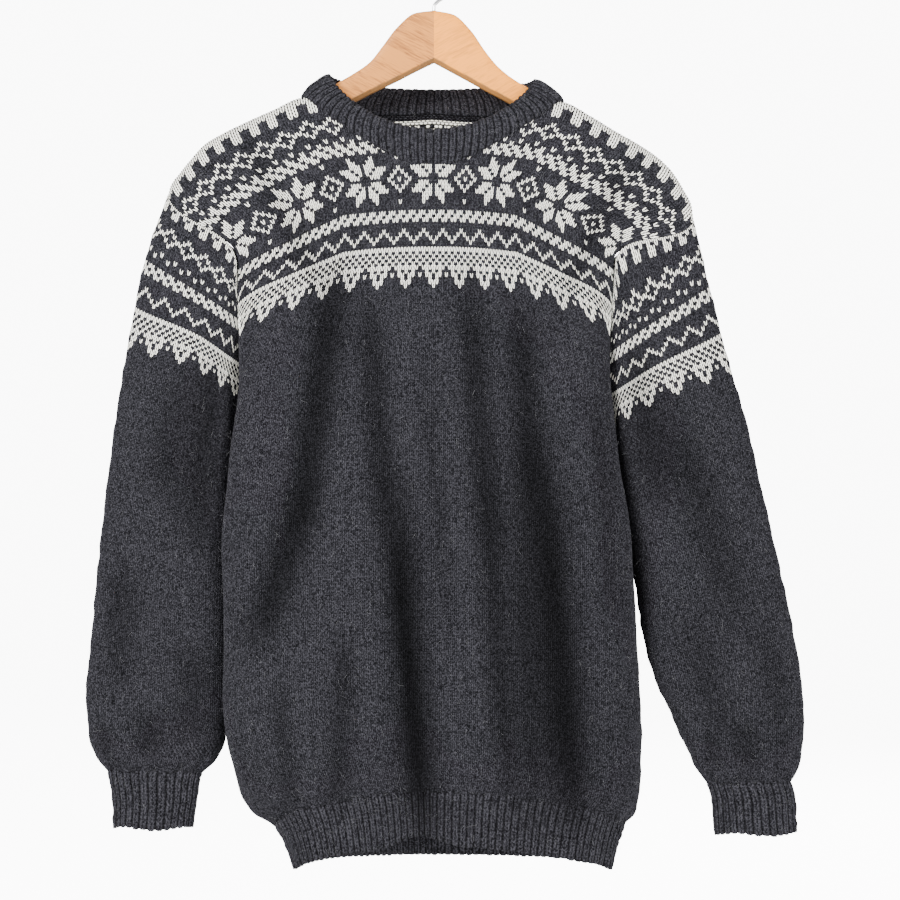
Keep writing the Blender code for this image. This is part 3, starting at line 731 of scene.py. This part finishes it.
def panelKnit(side):
    stitches, rows = panelSize["stitches"], panelSize["rows"]
    column = np.arange(stitches * stocking["cell"] + 1)
    columnAt, rowAt, wholeRow, skin = stitchGrid(column, rows, panelSize["liningRows"])
    u = (columnAt / stocking["cell"] / stitches * 2 - 1) * form["halfCut"]
    v = np.maximum(mix(shoulderTop(u), form["bodyLength"], rowAt / rows), neckEdge(side, u))

    offset = wallOffset(column, skin, 5)
    waves = np.sin(2 * math.pi * u / panelSize["gatherPitch"] + 1.7 * np.sin(u / 31))
    reach = panelSize["gatherReach"]
    atHem = ease((v - form["bodyLength"] + reach) / reach)
    offset = offset + panelSize["gatherHeight"] * waves * atHem
    start, over = panelSize["evenUntil"]
    atEdge = ease(np.abs(u) / form["halfCut"] * 8 - 7)
    offset = offset + handUneven(u, v, atEdge) * ease((v - start) / over)
    normals = normalsOf(partial(bodyPlaces, side), u, v, 0.5, 0.5, -1.0 if side == "front" else 1.0)
    middle = bodyPlaces(side, u, v)
    shade = foldShade(troughDepth(side, middle[..., 0], fromShoulder(middle[..., 2])))
    stitchNumber = column[:-1] // stocking["cell"] - stitches // 2
    return knitPiece(side + "Knit", side + "_panel", yokeChart, stitchNumber, rows, columnAt, wholeRow,
                     middle + normals * offset[..., None], shade)


frontKnit = panelKnit("front")
backKnit = panelKnit("back")
print("body panels knitted:", triangles(frontKnit), triangles(backKnit))

sleeveSize = {
    "halfStitches": 60,  # from the outer line to the underarm at the top
    "fewest": 34,  # and above the cuff
    "rowHeight": 3.6,
    "outerDrop": 10.0,  # rows hang lower on the outer line
    "middleRise": {"left": 10.0, "right": 5.0},  # and ride up in the middle of the front
    "slope": (0.85, 0.45),  # of the first row and of the pattern's last, towards the body
    "least": 0.35,  # the closest that rows lie under the arm, where the cloth is folded
    "bodyShade": {"left": 0.15, "right": 0.7},  # where the sleeve goes behind the body
    "shadeAlong": (80, 450, 150),  # it grows over the first, ends at the second, fades over the third
    "shadeRound": (0.68, 0.25),  # share of the half turn where it starts, and over which it grows
    "creaseRound": (0.15, 0.35),  # the same for the crease under the arm
    "patternRows": 41,
    "evenUntil": 55,
    "tuck": 1.0,  # the first row lies under the panel's edge by this much
    "creaseGap": 2.0,
    "liningRows": 34,
    "steps": 60,  # places round half a sleeve at which its rows are worked out
    "gatherWaves": 17,
    "gatherHeight": 1.1,
    "gatherReach": 48.0,
    "roundHalf": 240.0,  # millimetres for one turn, for the unevenness
}


def evenTurns(hand, alongs, facing):
    # turn of the sleeve at even steps of its half girth, for each row, and the half girths
    steps = np.linspace(0, 1, sleeveSize["steps"] + 1)
    turns = facing * steps[None, :] + 0 * alongs[:, None]
    places = sleevePlaces(hand, turns, alongs[:, None])
    lengths = np.linalg.norm(np.diff(places, axis=1), axis=-1)
    run = np.concatenate((np.zeros((len(alongs), 1)), np.cumsum(lengths, axis=1)), axis=1)
    even = np.array([np.interp(steps * row[-1], row, steps) for row in run])
    return even, run[:, -1]


def rowHump(n, rows):
    patternRows = sleeveSize["patternRows"]
    return ease(n / patternRows) * (1 - ease((n - patternRows) / (rows - patternRows)))


def rowLevels(hand, rows, length, facing):
    # where each row lies along the sleeve, so that it slopes evenly towards the body
    alongs = np.linspace(0, length, 160)
    turns = np.linspace(0, 1, sleeveSize["steps"] + 1)
    places = sleevePlaces(hand, facing * turns[:, None], alongs[None, :])
    out = np.abs(places[..., 0])
    down = fromShoulder(places[..., 2])
    levels = np.empty((rows + 1, len(turns)))
    for n in range(rows + 1):
        start = n / rows * length
        slope = mix(*sleeveSize["slope"], min(n / sleeveSize["patternRows"], 1))
        level = down + slope * out
        want = np.interp(start + sleeveSize["outerDrop"] * rowHump(n, rows), alongs, level[0])
        solved = np.array([np.interp(want, one, alongs) for one in level])
        solved = np.maximum(solved, sleeveSize["least"] * n)
        past = (n - sleeveSize["evenUntil"]) / (rows - sleeveSize["evenUntil"])
        levels[n] = mix(start, solved, ease(n / 10) * (1 - ease(past)))
    return levels


def sleeveKnit(hand):
    cell, halfStitches, steps = stocking["cell"], sleeveSize["halfStitches"], sleeveSize["steps"]
    length = sleeveCurve[hand]["along"](1e6)
    rows = round(length / sleeveSize["rowHeight"])
    rowAlong = np.linspace(0, length, rows + 1)
    frontEven, frontGirth = evenTurns(hand, rowAlong, 1.0)
    backEven, backGirth = evenTurns(hand, rowAlong, -1.0)
    count = np.clip((frontGirth + backGirth) / 2 / stocking["width"], sleeveSize["fewest"], halfStitches)
    count = np.minimum.accumulate(count)

    column = np.arange(-halfStitches * cell, halfStitches * cell + 1)
    columnAt, n, wholeRow, skin = stitchGrid(column, rows, sleeveSize["liningRows"])
    part = np.abs(columnAt) / cell / np.interp(wholeRow, np.arange(rows + 1), count)
    gathered = part >= 1
    n = np.where(gathered, wholeRow, n)
    part = np.minimum(part, 1)
    lowRow = np.clip(np.floor(n).astype(int), 0, rows - 1)

    def sample(table, spot):
        lowSpot = np.clip(np.floor(spot).astype(int), 0, steps - 1)
        upper = mix(table[lowRow, lowSpot], table[lowRow, lowSpot + 1], spot - lowSpot)
        lower = mix(table[lowRow + 1, lowSpot], table[lowRow + 1, lowSpot + 1], spot - lowSpot)
        return mix(upper, lower, n - lowRow)

    onFront = columnAt >= 0
    share = np.where(onFront, sample(frontEven, part * steps), sample(backEven, part * steps))
    turn = np.where(onFront, share, -share)
    frontLevels = rowLevels(hand, rows, length, 1.0)
    backLevels = rowLevels(hand, rows, length, -1.0)
    along = np.where(onFront, sample(frontLevels, share * steps), sample(backLevels, share * steps))
    along = along - sleeveSize["middleRise"][hand] * np.sin(math.pi * share) ** 2 * rowHump(n, rows)
    start, over = sleeveSize["creaseRound"]
    crease = ease((share - start) / over)
    along = along + (sleeveSize["creaseGap"] * crease - sleeveSize["tuck"]) * (1 - ease(n / 12))
    along = np.clip(along, 0, length)

    offset = wallOffset(column, skin, 6, np.where(gathered, 0, 1))
    waves = np.sin(math.pi * sleeveSize["gatherWaves"] * turn + 1.3 * np.sin(5 * turn))
    reach = sleeveSize["gatherReach"]
    offset = offset + sleeveSize["gatherHeight"] * waves * ease((along - length + reach) / reach)
    atEdge = ease(1 - share * 8) + ease(share * 8 - 7)
    offset = offset + handUneven(sleeveSize["roundHalf"] * turn, along, atEdge) * ease(n / 14)
    normals = normalsOf(partial(sleevePlaces, hand), turn, along, 0.004, 0.5, handSign[hand])
    places = sleevePlaces(hand, turn, along) + normals * offset[..., None]
    places[..., 0] += handSign[hand] * sleeveSize["creaseGap"] * crease * (1 - ease(n / rows * 7))

    shade = foldShade(np.abs(sleeveCreases(hand, turn, along)[..., 1]) * 1.2)
    fadeIn, end, fadeOut = sleeveSize["shadeAlong"]
    start, over = sleeveSize["shadeRound"]
    behindBody = ease(along / fadeIn) * ease((end - along) / fadeOut) * ease((share - start) / over)
    shade = shade * (1 - sleeveSize["bodyShade"][hand] * behindBody)
    stitchNumber = np.floor_divide(column[:-1], cell)
    return knitPiece(hand + "SleeveKnit", hand + "_sleeve", sleeveChart, stitchNumber, rows, columnAt,
                     wholeRow, places, shade)


leftSleeveKnit = sleeveKnit("left")
rightSleeveKnit = sleeveKnit("right")
print("sleeves knitted:", triangles(leftSleeveKnit), triangles(rightSleeveKnit))

# ribbed bands
rib = {
    "cell": 8,  # mesh columns for one rib and its hollow
    "rise": np.array((-0.5, -0.5, -0.35, -0.15, 0.0, -0.15, -0.35, -0.5)),
    "relief": np.array((0.0, 0.35, 0.90, 1.10, 0.85, 1.10, 0.90, 0.35)),
    "height": 1.1,  # of a rib over its hollow, in millimetres
    "hollow": 0.72,  # the light that reaches it
    "edgeBump": 0.018,  # each rib ends in a rounder stitch
    "uneven": 0.24,
    "wall": 1.5,  # half of it, in the hollows
    "neckWall": 2.0,
    "hemRibs": 118,
    "neckRibs": 84,
    "cuffRibs": 30,
    "hemRows": 14,
    "cuffRows": 15,
    "tuck": 0.05,  # under the cloth above, as a share of the band's height
}


def ribbedBand(name, place, ribs, rowsOut, rowsIn, halfWall, insideHeight, outwardFrom, shadeAt=None):
    # rowsOut and rowsIn are pairs of a place down the band (0 to 1) and a share of the wall
    cell = rib["cell"]
    column = np.arange(ribs * cell + 1)
    phase = column % cell
    turn = column / (ribs * cell)
    spread = [(h, share, 1.0) for h, share in rowsOut] + [(h, share, -1.0) for h, share in rowsIn]
    spread.append((rowsOut[0][0], rowsOut[0][1], 1.0))
    random = np.random.default_rng(ribs)
    rowStep = abs(rowsOut[2][0] - rowsOut[1][0])
    ribPlump = random.normal(1.0, rib["uneven"], ribs)
    plumpest = np.append(np.repeat(ribPlump, cell), ribPlump[0])
    places, uvs, grooveShade = [], [], []
    for h, share, skin in spread:
        rise = rib["rise"][phase] * rowStep
        atEdge = h <= 0 or h >= 1
        ends = rib["edgeBump"] * rib["relief"][phase] * plumpest * (h >= 1)
        hh = h + (ends if atEdge else rise)
        base = place(turn, hh)
        normals = normalsOf(place, turn, hh, 0.001, 0.03, 1.0)
        facing = np.sum(normals * outwardFrom(base), axis=-1, keepdims=True)
        normals = np.where(facing < 0, -normals, normals)
        plump = np.repeat(ribPlump * random.normal(1.0, rib["uneven"], ribs), cell)
        plump = np.append(plump, plump[0])
        relief = rib["relief"][phase] * rib["height"] * plump
        # painted shade: the hollows between ribs are darkened, as little light reaches them
        grooveShade.append(mix(rib["hollow"], 1.0, rib["relief"][phase] / rib["height"]))
        if skin > 0:
            offset = halfWall * share + relief * min(share * 1.3, 1.0) * (share > 0)
        else:
            offset = -halfWall * share - relief * insideHeight * min(share * 1.3, 1.0)
        places.append(base + normals * np.reshape(offset, (-1, 1)))
        uvs.append(np.stack((column / cell, np.full(len(column), 40 - h / rowStep)), axis=-1))
    places, shade = np.array(places), np.array(grooveShade)
    if shadeAt is not None:
        shade = shade * shadeAt(places)
    piece = clothFromGrid(name, places, np.array(uvs), np.zeros(shade.shape), (ribWool,), shade)
    return piece


hemWave = {
    "cornerLift": 4.0,
    "cornerWidth": 9.0,
    "middle": -14.0,
    "halfWidth": 24.0,
    "lift": 9.0,
    "inward": 7.0,
}


def hemPlaces(turn, h):
    turn, h = np.broadcast_arrays(np.mod(turn, 1.0), h)
    u = np.where(turn < 0.5, form["halfCut"] * (4 * turn - 1), form["halfCut"] * (3 - 4 * turn))
    v = form["bodyLength"] + mix(form["seamGap"], form["hemHeight"], h)
    places = eitherPanel(turn < 0.5, u, v)
    wave = np.exp(-((places[..., 0] - hemWave["middle"]) / hemWave["halfWidth"]) ** 2) * (turn < 0.5)
    atCorner = np.exp(-((np.abs(u) - form["halfCut"]) / hemWave["cornerWidth"]) ** 2)
    places[..., 2] += (hemWave["lift"] * wave + hemWave["cornerLift"] * atCorner) * ease(h)
    places[..., 1] += hemWave["inward"] * wave * ease(h)
    return places


def hemShade(places):
    depth = troughDepth("front", places[..., 0], fromShoulder(places[..., 2]))
    return foldShade(np.where(places[..., 1] < 0, depth, 0))


def awayFromMiddle(places):
    return places * np.array((1.0, 3.0, 0.0))


def evenRows(count):
    # the first row is tucked under the cloth above, the last is rounded
    rows = [(-rib["tuck"], 0.25), (0.0, 0.6)]
    rows += [(k / count, 1.0) for k in range(1, count)]
    return rows + [(1.0, 0.8)]


insideRows = [(1.0, 0.8), (0.67, 1.0), (0.33, 1.0), (0.0, 0.8), (-rib["tuck"], 0.25)]


hemRibKnit = ribbedBand("hemRibKnit", hemPlaces, rib["hemRibs"], evenRows(rib["hemRows"]), insideRows,
                        rib["wall"], 0.0, awayFromMiddle, hemShade)
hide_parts("hem_rib")

neckTop = {
    "leftOut": 104.0, "rightOut": 100.0, "leftDown": -10.5, "rightDown": -5.0,
    "frontDepth": 37.0, "frontDown": 49.0, "backDepth": 36.0, "backDown": -3.0,
    "bulge": 4.0,
}


def neckSeamPlaces(turn):
    turn = np.mod(turn, 1.0)
    u = -form["neckHalfCut"] * np.cos(2 * math.pi * turn)
    return eitherPanel(turn < 0.5, u, np.where(turn < 0.5, neckEdge("front", u), neckEdge("back", u)))


def neckTopPlaces(turn):
    turn = np.mod(turn, 1.0)
    angle = 2 * math.pi * turn
    lean = np.abs(np.sin(angle))
    toRight = (1 - np.cos(angle)) / 2
    x = -np.cos(angle) * mix(neckTop["leftOut"], neckTop["rightOut"], toRight)
    sideDown = mix(neckTop["leftDown"], neckTop["rightDown"], toRight)
    inFront = turn < 0.5
    y = np.where(inFront, -neckTop["frontDepth"], neckTop["backDepth"]) * lean ** 0.9
    down = np.where(inFront, mix(sideDown, neckTop["frontDown"], lean ** 1.5),
                    mix(sideDown, neckTop["backDown"], lean))
    y = y - armForward(x) * 0.9
    return np.stack((x, y, fromShoulder(down)), axis=-1)


def neckPlaces(turn, h):
    turn, h = np.broadcast_arrays(turn, h)
    low = neckSeamPlaces(turn)
    high = neckTopPlaces(turn)
    places = mix(low, high, h[..., None])
    out = unit(places * np.array((1.0, 2.0, 0.0)))
    return places + out * (neckTop["bulge"] * 4 * h * (1 - h))[..., None]


neckRows = [(0, 0.35), (0.06, 0.8)] + [(k / 9, 1.0) for k in range(1, 9)] + [(0.955, 0.85), (1.0, 0.45)]
neckbandKnit = ribbedBand("neckbandKnit", neckPlaces, rib["neckRibs"], neckRows, neckRows[::-1],
                          rib["neckWall"], 0.6, awayFromMiddle)
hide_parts("neckband")


cuffWave = {"drawnIn": 1.0, "side": 0.9, "front": 1.0, "edge": 1.3}


def cuffKnit(hand):
    outer, inner, level, halfDepth = cuffEnd[hand]
    sign = handSign[hand]
    length = sleeveCurve[hand]["along"](1e6)

    def place(turn, h):
        turn, h = np.broadcast_arrays(np.mod(turn, 1.0) * 2, h)
        high = sleevePlaces(hand, turn, np.full(turn.shape, length))
        angle = math.pi * turn
        x = mix(outer, inner, (1 - np.cos(angle)) / 2)
        y = -halfDepth * np.sin(angle)
        low = np.stack((sign * x, y, np.full(x.shape, fromShoulder(level))), axis=-1)
        drawnIn = h + cuffWave["drawnIn"] * np.clip(h, 0, 1) * (1 - np.clip(h, 0, 1))
        plain = mix(high, low, h[..., None])
        places = np.where(np.arange(3) == 2, plain, mix(high, low, drawnIn[..., None]))
        places[..., 0] += cuffWave["side"] * np.sin(5.1 * h + 0.9 * sign) * ease(h * 3)
        places[..., 1] += cuffWave["front"] * np.sin(6 * angle + 2 * h) * ease(h * 2) * np.abs(np.sin(angle))
        places[..., 2] += cuffWave["edge"] * np.sin(3.3 * angle + sign) * ease(h * 1.5 - 0.5)
        return places

    middle = np.array((sign * (outer + inner) / 2, 0.0, 0.0))

    def away(places):
        return (places - middle) * np.array((1.0, 3.0, 0.0))

    piece = ribbedBand(hand + "CuffKnit", place, rib["cuffRibs"], evenRows(rib["cuffRows"]), insideRows,
                       rib["wall"], 0.0, away)
    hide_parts(hand + "_cuff")
    return piece


leftCuffKnit = cuffKnit("left")
rightCuffKnit = cuffKnit("right")
print("ribs knitted:", triangles(hemRibKnit), triangles(neckbandKnit), triangles(leftCuffKnit))

# loose fibres that stand off the wool
fuzz = {
    "count": 520,
    "length": (3.0, 8.0),
    "radius": 0.045,
    "stand": (0.4, 2.2),
    "points": 5,
    "bend": 0.6,
    "leastLight": 0.5,  # none grow in folds darker than this
    "seed": 11,
}


def newCurve(name, radius, resolution):
    curve = bpy.data.curves.new(name, "CURVE")
    curve.dimensions = "3D"
    curve.bevel_depth = radius * mm
    curve.bevel_resolution = resolution
    return curve


def addPath(curve, path):
    spline = curve.splines.new("POLY")
    spline.points.add(len(path) - 1)
    for point, place in zip(spline.points, path):
        point.co = (*place, 1.0)


def looseFibres(pieces):
    random = np.random.default_rng(fuzz["seed"])
    curve = newCurve("looseFibres", fuzz["radius"], 0)
    for piece, share in pieces:
        faces = piece.data.polygons
        shade = piece.data.attributes["foldShade"].data
        for number in random.integers(0, len(faces), int(fuzz["count"] * share)):
            face = faces[int(number)]
            inFold = shade[face.vertices[0]].value < fuzz["leastLight"]
            if face.area < 1e-7 or face.material_index == 2 or inFold:
                continue
            outward = np.array(face.normal)
            aside = np.cross(outward, random.normal(size=3))
            aside = aside / np.linalg.norm(aside)
            bend = np.cross(outward, aside) * random.uniform(-fuzz["bend"], fuzz["bend"])
            length = random.uniform(*fuzz["length"])
            stand = random.uniform(*fuzz["stand"])
            t = np.linspace(0, 1, fuzz["points"])[:, None]
            arch = outward * stand * np.sin(math.pi * t * random.uniform(0.6, 1.0))
            path = np.array(face.center) / mm + aside * length * t + bend * length * t * t + arch
            addPath(curve, (path * mm).tolist())
    material, tree, shader = newMaterial("looseFibre")
    shader.inputs["Base Color"].default_value = (*yarn["looseFibre"], 1)
    shader.inputs["Roughness"].default_value = 0.8
    curve.materials.append(material)
    fibres = addObject("looseFibres", curve)
    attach(fibres, "root")


looseFibres(((frontKnit, 4), (backKnit, 3), (leftSleeveKnit, 2), (rightSleeveKnit, 2),
             (neckbandKnit, 0.6), (hemRibKnit, 0.7), (leftCuffKnit, 0.2), (rightCuffKnit, 0.2)))
print("loose fibres laid")

# hanger
hanger = {
    "out": (0, 19, 37, 51, 64, 80, 97, 131, 180, 202, 211, 214),
    "leftTop": (58, 60.8, 75.5, 94, 110.5, 122, 132, 151.8, 176.5, 187.8, 193, 198),
    "rightTop": (58, 62, 78.5, 99, 115, 128, 138, 157.5, 185, 197.5, 203, 208),
    "leftBottom": (110, 119.5, 129, 136, 142.5, 151, 159.5, 177, 202, 213, 209.5, 204),
    "rightBottom": (110, 120.5, 130.5, 138.5, 145.5, 154.5, 164, 183, 210, 222, 218, 212),
}
hangerCurve = curvesOf(hanger)
wood = {
    "halfDepth": 5.8,
    "squareness": (3.2, 9.0),  # over the middle and under it: 2 is an ellipse, more is squarer
    "stations": 60,
    "around": 48,
    "chamfer": 4.0,  # along the front of the lower edge
    "pale": (0.52, 0.195, 0.034),
    "warm": (0.79, 0.272, 0.016),
    "grain": (0.14, 0.042, 0.010),
    "underEdgeShade": (0.17, 0.095, 0.042),  # painted shade on the strip under the chamfered front edge
    # how far the strip under the front edge is mixed towards the painted shade colour
    "edgeShadeShare": 0.75,
    "grainScale": (42.0, 700.0, 700.0),
    "arms": {"left": ("pale", "wood_pale", -27, 0.85), "right": ("warm", "wood_warm", 27, 0.4)},
    "tip": 5.0,  # length over which an arm's end is rounded
    "tipSteps": 8,
    "sharpAngle": 32,
}


def woodMaterial(name, base, tilt, grainShare):
    # fine streaks along the grain, soft bands of tone, painted shade on the strip under the front edge, and
    # a satin finish
    material, tree, shader = newMaterial(name)
    place = tree.nodes.new("ShaderNodeTexCoord")
    turned = tree.nodes.new("ShaderNodeMapping")
    turned.inputs["Rotation"].default_value = (0, math.radians(tilt), 0)
    link(tree, place, "Object", turned, "Vector")
    lay = tree.nodes.new("ShaderNodeMapping")
    lay.inputs["Scale"].default_value = wood["grainScale"]
    link(tree, turned, "Vector", lay, "Vector")
    streaks = noiseNode(tree, lay.outputs["Vector"], 1.0, 4.0, 0.6)
    bands = noiseNode(tree, lay.outputs["Vector"], 0.12, 2.0)
    both = mathNode(tree, "MULTIPLY_ADD", bands, 0.35, mathNode(tree, "MULTIPLY", streaks, 0.75))
    share = rangeNode(tree, both, 0.52, 0.72, 0.0, grainShare)
    colour = mixColour(tree, share, base, wood["grain"])
    # painted shade: the strip under the front edge is mixed towards a dark brown
    colour = mixColour(tree, attributeNode(tree, "foldShade"), wood["underEdgeShade"], colour)
    tree.links.new(colour, shader.inputs["Base Color"])
    bumpNode(tree, shader, streaks, 0.2, 0.0002)
    shader.inputs["Roughness"].default_value = 0.5
    shader.inputs["Specular IOR Level"].default_value = 0.3
    shader.inputs["Coat Weight"].default_value = 0.05
    shader.inputs["Coat Roughness"].default_value = 0.3
    return material


def hangerArm(hand):
    tone, slotName, tilt, grainShare = wood["arms"][hand]
    reach, end = form["armReach"], wood["tip"]
    straight = np.linspace(0, 1, wood["stations"])[:-1] * (reach - end)
    rounded = reach - end * (1 - np.sin(np.linspace(0.15, 1.0, wood["tipSteps"]) * math.pi / 2))
    out = np.concatenate((straight, rounded))[:, None]
    angle = np.linspace(0, 2 * math.pi, wood["around"] + 1)
    angle[-1] = 0
    angle = angle[None, :]
    top = hangerCurve[hand + "Top"](out)
    bottom = hangerCurve[hand + "Bottom"](out)
    tall = bottom - top
    tip = np.sqrt(np.clip(1 - ((out - (reach - end)) / (end + 0.05)) ** 2, 0.02, 1))
    tip = np.where(out < reach - end, 1, tip)
    over, under = wood["squareness"]
    power = np.where(np.sin(angle) > 0, 2 / over, 2 / under)
    halfDepth = wood["halfDepth"] * np.minimum(1, 0.55 + tall / 30) * tip
    across = np.sign(np.cos(angle)) * np.abs(np.cos(angle)) ** power
    upward = np.sign(np.sin(angle)) * np.abs(np.sin(angle)) ** power
    z = -(top + bottom) / 2 + upward * tall / 2 * tip
    aboveEdge = z + (top + bottom) / 2 + tall / 2 * tip
    cut = np.clip(wood["chamfer"] - aboveEdge, 0, wood["chamfer"]) * 1.1
    y = np.maximum(across * halfDepth, -np.maximum(halfDepth - cut, 0.2)) - armForward(out)
    x = handSign[hand] * (out - 0.05) + 0 * angle
    places = np.stack(np.broadcast_arrays(x, y, z), axis=-1)
    uvs = np.stack(np.broadcast_arrays(out * 0.01, angle), axis=-1)
    # painted shade on the chamfered strip under the front edge, stored in the foldShade attribute
    shade = np.where(np.broadcast_to(cut, x.shape) > 0, 1 - wood["edgeShadeShare"], 1.0)
    material = woodMaterial(hand + "Wood", wood[tone], tilt, grainShare)
    name = "hangerArm" + hand.capitalize()
    piece = clothFromGrid(name, places, uvs, np.zeros(x.shape), (material,), shade)
    piece.data.set_sharp_from_angle(angle=math.radians(wood["sharpAngle"]))
    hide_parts("hanger_" + hand)
    return piece


hangerArmLeft = hangerArm("left")
hangerArmRight = hangerArm("right")

wire = {
    "radius": 1.75,
    "bend": 22.0,
    "neck": ((12.4, -43), (8, -46), (4.8, -48), (2.6, -49.9), (1, -51.8), (0.2, -54), (0, -58)),
    "colour": (0.66, 0.66, 0.67),
}


def hookWire():
    # round the bend from its tip, then down into the wood
    radius = wire["bend"] + wire["radius"]
    path = []
    for degrees in range(200, -51, -5):
        angle = math.radians(degrees)
        path.append((radius * math.cos(angle), -wire["bend"] + radius * math.sin(angle)))
    curve = newCurve("hookWire", wire["radius"], 4)
    curve.use_fill_caps = True
    addPath(curve, [(x * mm, 0.0, z * mm) for x, z in (*path, *wire["neck"])])
    material, tree, shader = newMaterial("brightWire")
    shader.inputs["Metallic"].default_value = 1.0
    shader.inputs["Roughness"].default_value = 0.22
    shader.inputs["Base Color"].default_value = (*wire["colour"], 1)
    curve.materials.append(material)
    piece = addObject("hookWire", curve)
    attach(piece, "root")
    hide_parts("hook")


hookWire()
print("hanger made")

# floor, light and camera
studio = {
    "floorLevel": -1.25,
    "glow": 9.0,  # how bright the white surroundings look
    "worldLight": 1.0,
    # each light's place, the height that it looks at, its size and its power
    "keyLight": ((-1.7, -2.0, 0.6), -0.55, 1.1, 195.0),
    "fillLight": ((2.0, -1.9, 0.1), -0.6, 1.3, 111.0),
    "backLight": ((1.3, 2.3, 0.6), -0.5, 1.6, 150.0),
    "camera": (0.016, -2.0, -0.4973),
    "lens": 80.0,
}


def makeFloor():
    bm = bmesh.new()
    bmesh.ops.create_grid(bm, x_segments=2, y_segments=2, size=8.0)
    bmesh.ops.translate(bm, verts=bm.verts, vec=(0, 0, studio["floorLevel"]))
    mesh = bpy.data.meshes.new("floor")
    bm.to_mesh(mesh)
    bm.free()
    material, tree, shader = newMaterial("paleFloor")
    shader.inputs["Base Color"].default_value = (0.9, 0.9, 0.9, 1)
    shader.inputs["Roughness"].default_value = 0.9
    shader.inputs["Emission Color"].default_value = (1, 1, 1, 1)
    seen = tree.nodes.new("ShaderNodeLightPath").outputs["Is Camera Ray"]
    tree.links.new(mathNode(tree, "MULTIPLY", seen, studio["glow"]), shader.inputs["Emission Strength"])
    mesh.materials.append(material)
    addObject("floor", mesh)


def softLight(name, place, targetHeight, size, power):
    lamp = bpy.data.lights.new(name, "AREA")
    lamp.shape = "RECTANGLE"
    lamp.size = size
    lamp.size_y = size
    lamp.energy = power
    holder = addObject(name, lamp)
    holder.location = place
    target = Vector((0, 0, targetHeight))
    holder.rotation_euler = (target - Vector(place)).to_track_quat("-Z", "Y").to_euler()


def makeWorld():
    # the surroundings look white, and light the cloth only softly
    world = bpy.data.worlds.new("studioWorld")
    world.use_nodes = True
    tree = world.node_tree
    background = tree.nodes["Background"]
    background.inputs["Color"].default_value = (1, 1, 1, 1)
    seen = tree.nodes.new("ShaderNodeLightPath").outputs["Is Camera Ray"]
    extra = mathNode(tree, "MULTIPLY", seen, studio["glow"])
    strength = mathNode(tree, "ADD", extra, studio["worldLight"])
    tree.links.new(strength, background.inputs["Strength"])
    bpy.context.scene.world = world


makeFloor()
makeWorld()
for name in ("keyLight", "fillLight", "backLight"):
    softLight(name, *studio[name])

lens = bpy.data.cameras.new("camera")
lens.lens = studio["lens"]
lens.sensor_width = 36.0
camera = addObject("camera", lens)
camera.location = studio["camera"]
camera.rotation_euler = (math.pi / 2, 0, 0)
bpy.context.scene.camera = camera

print("scene ready")
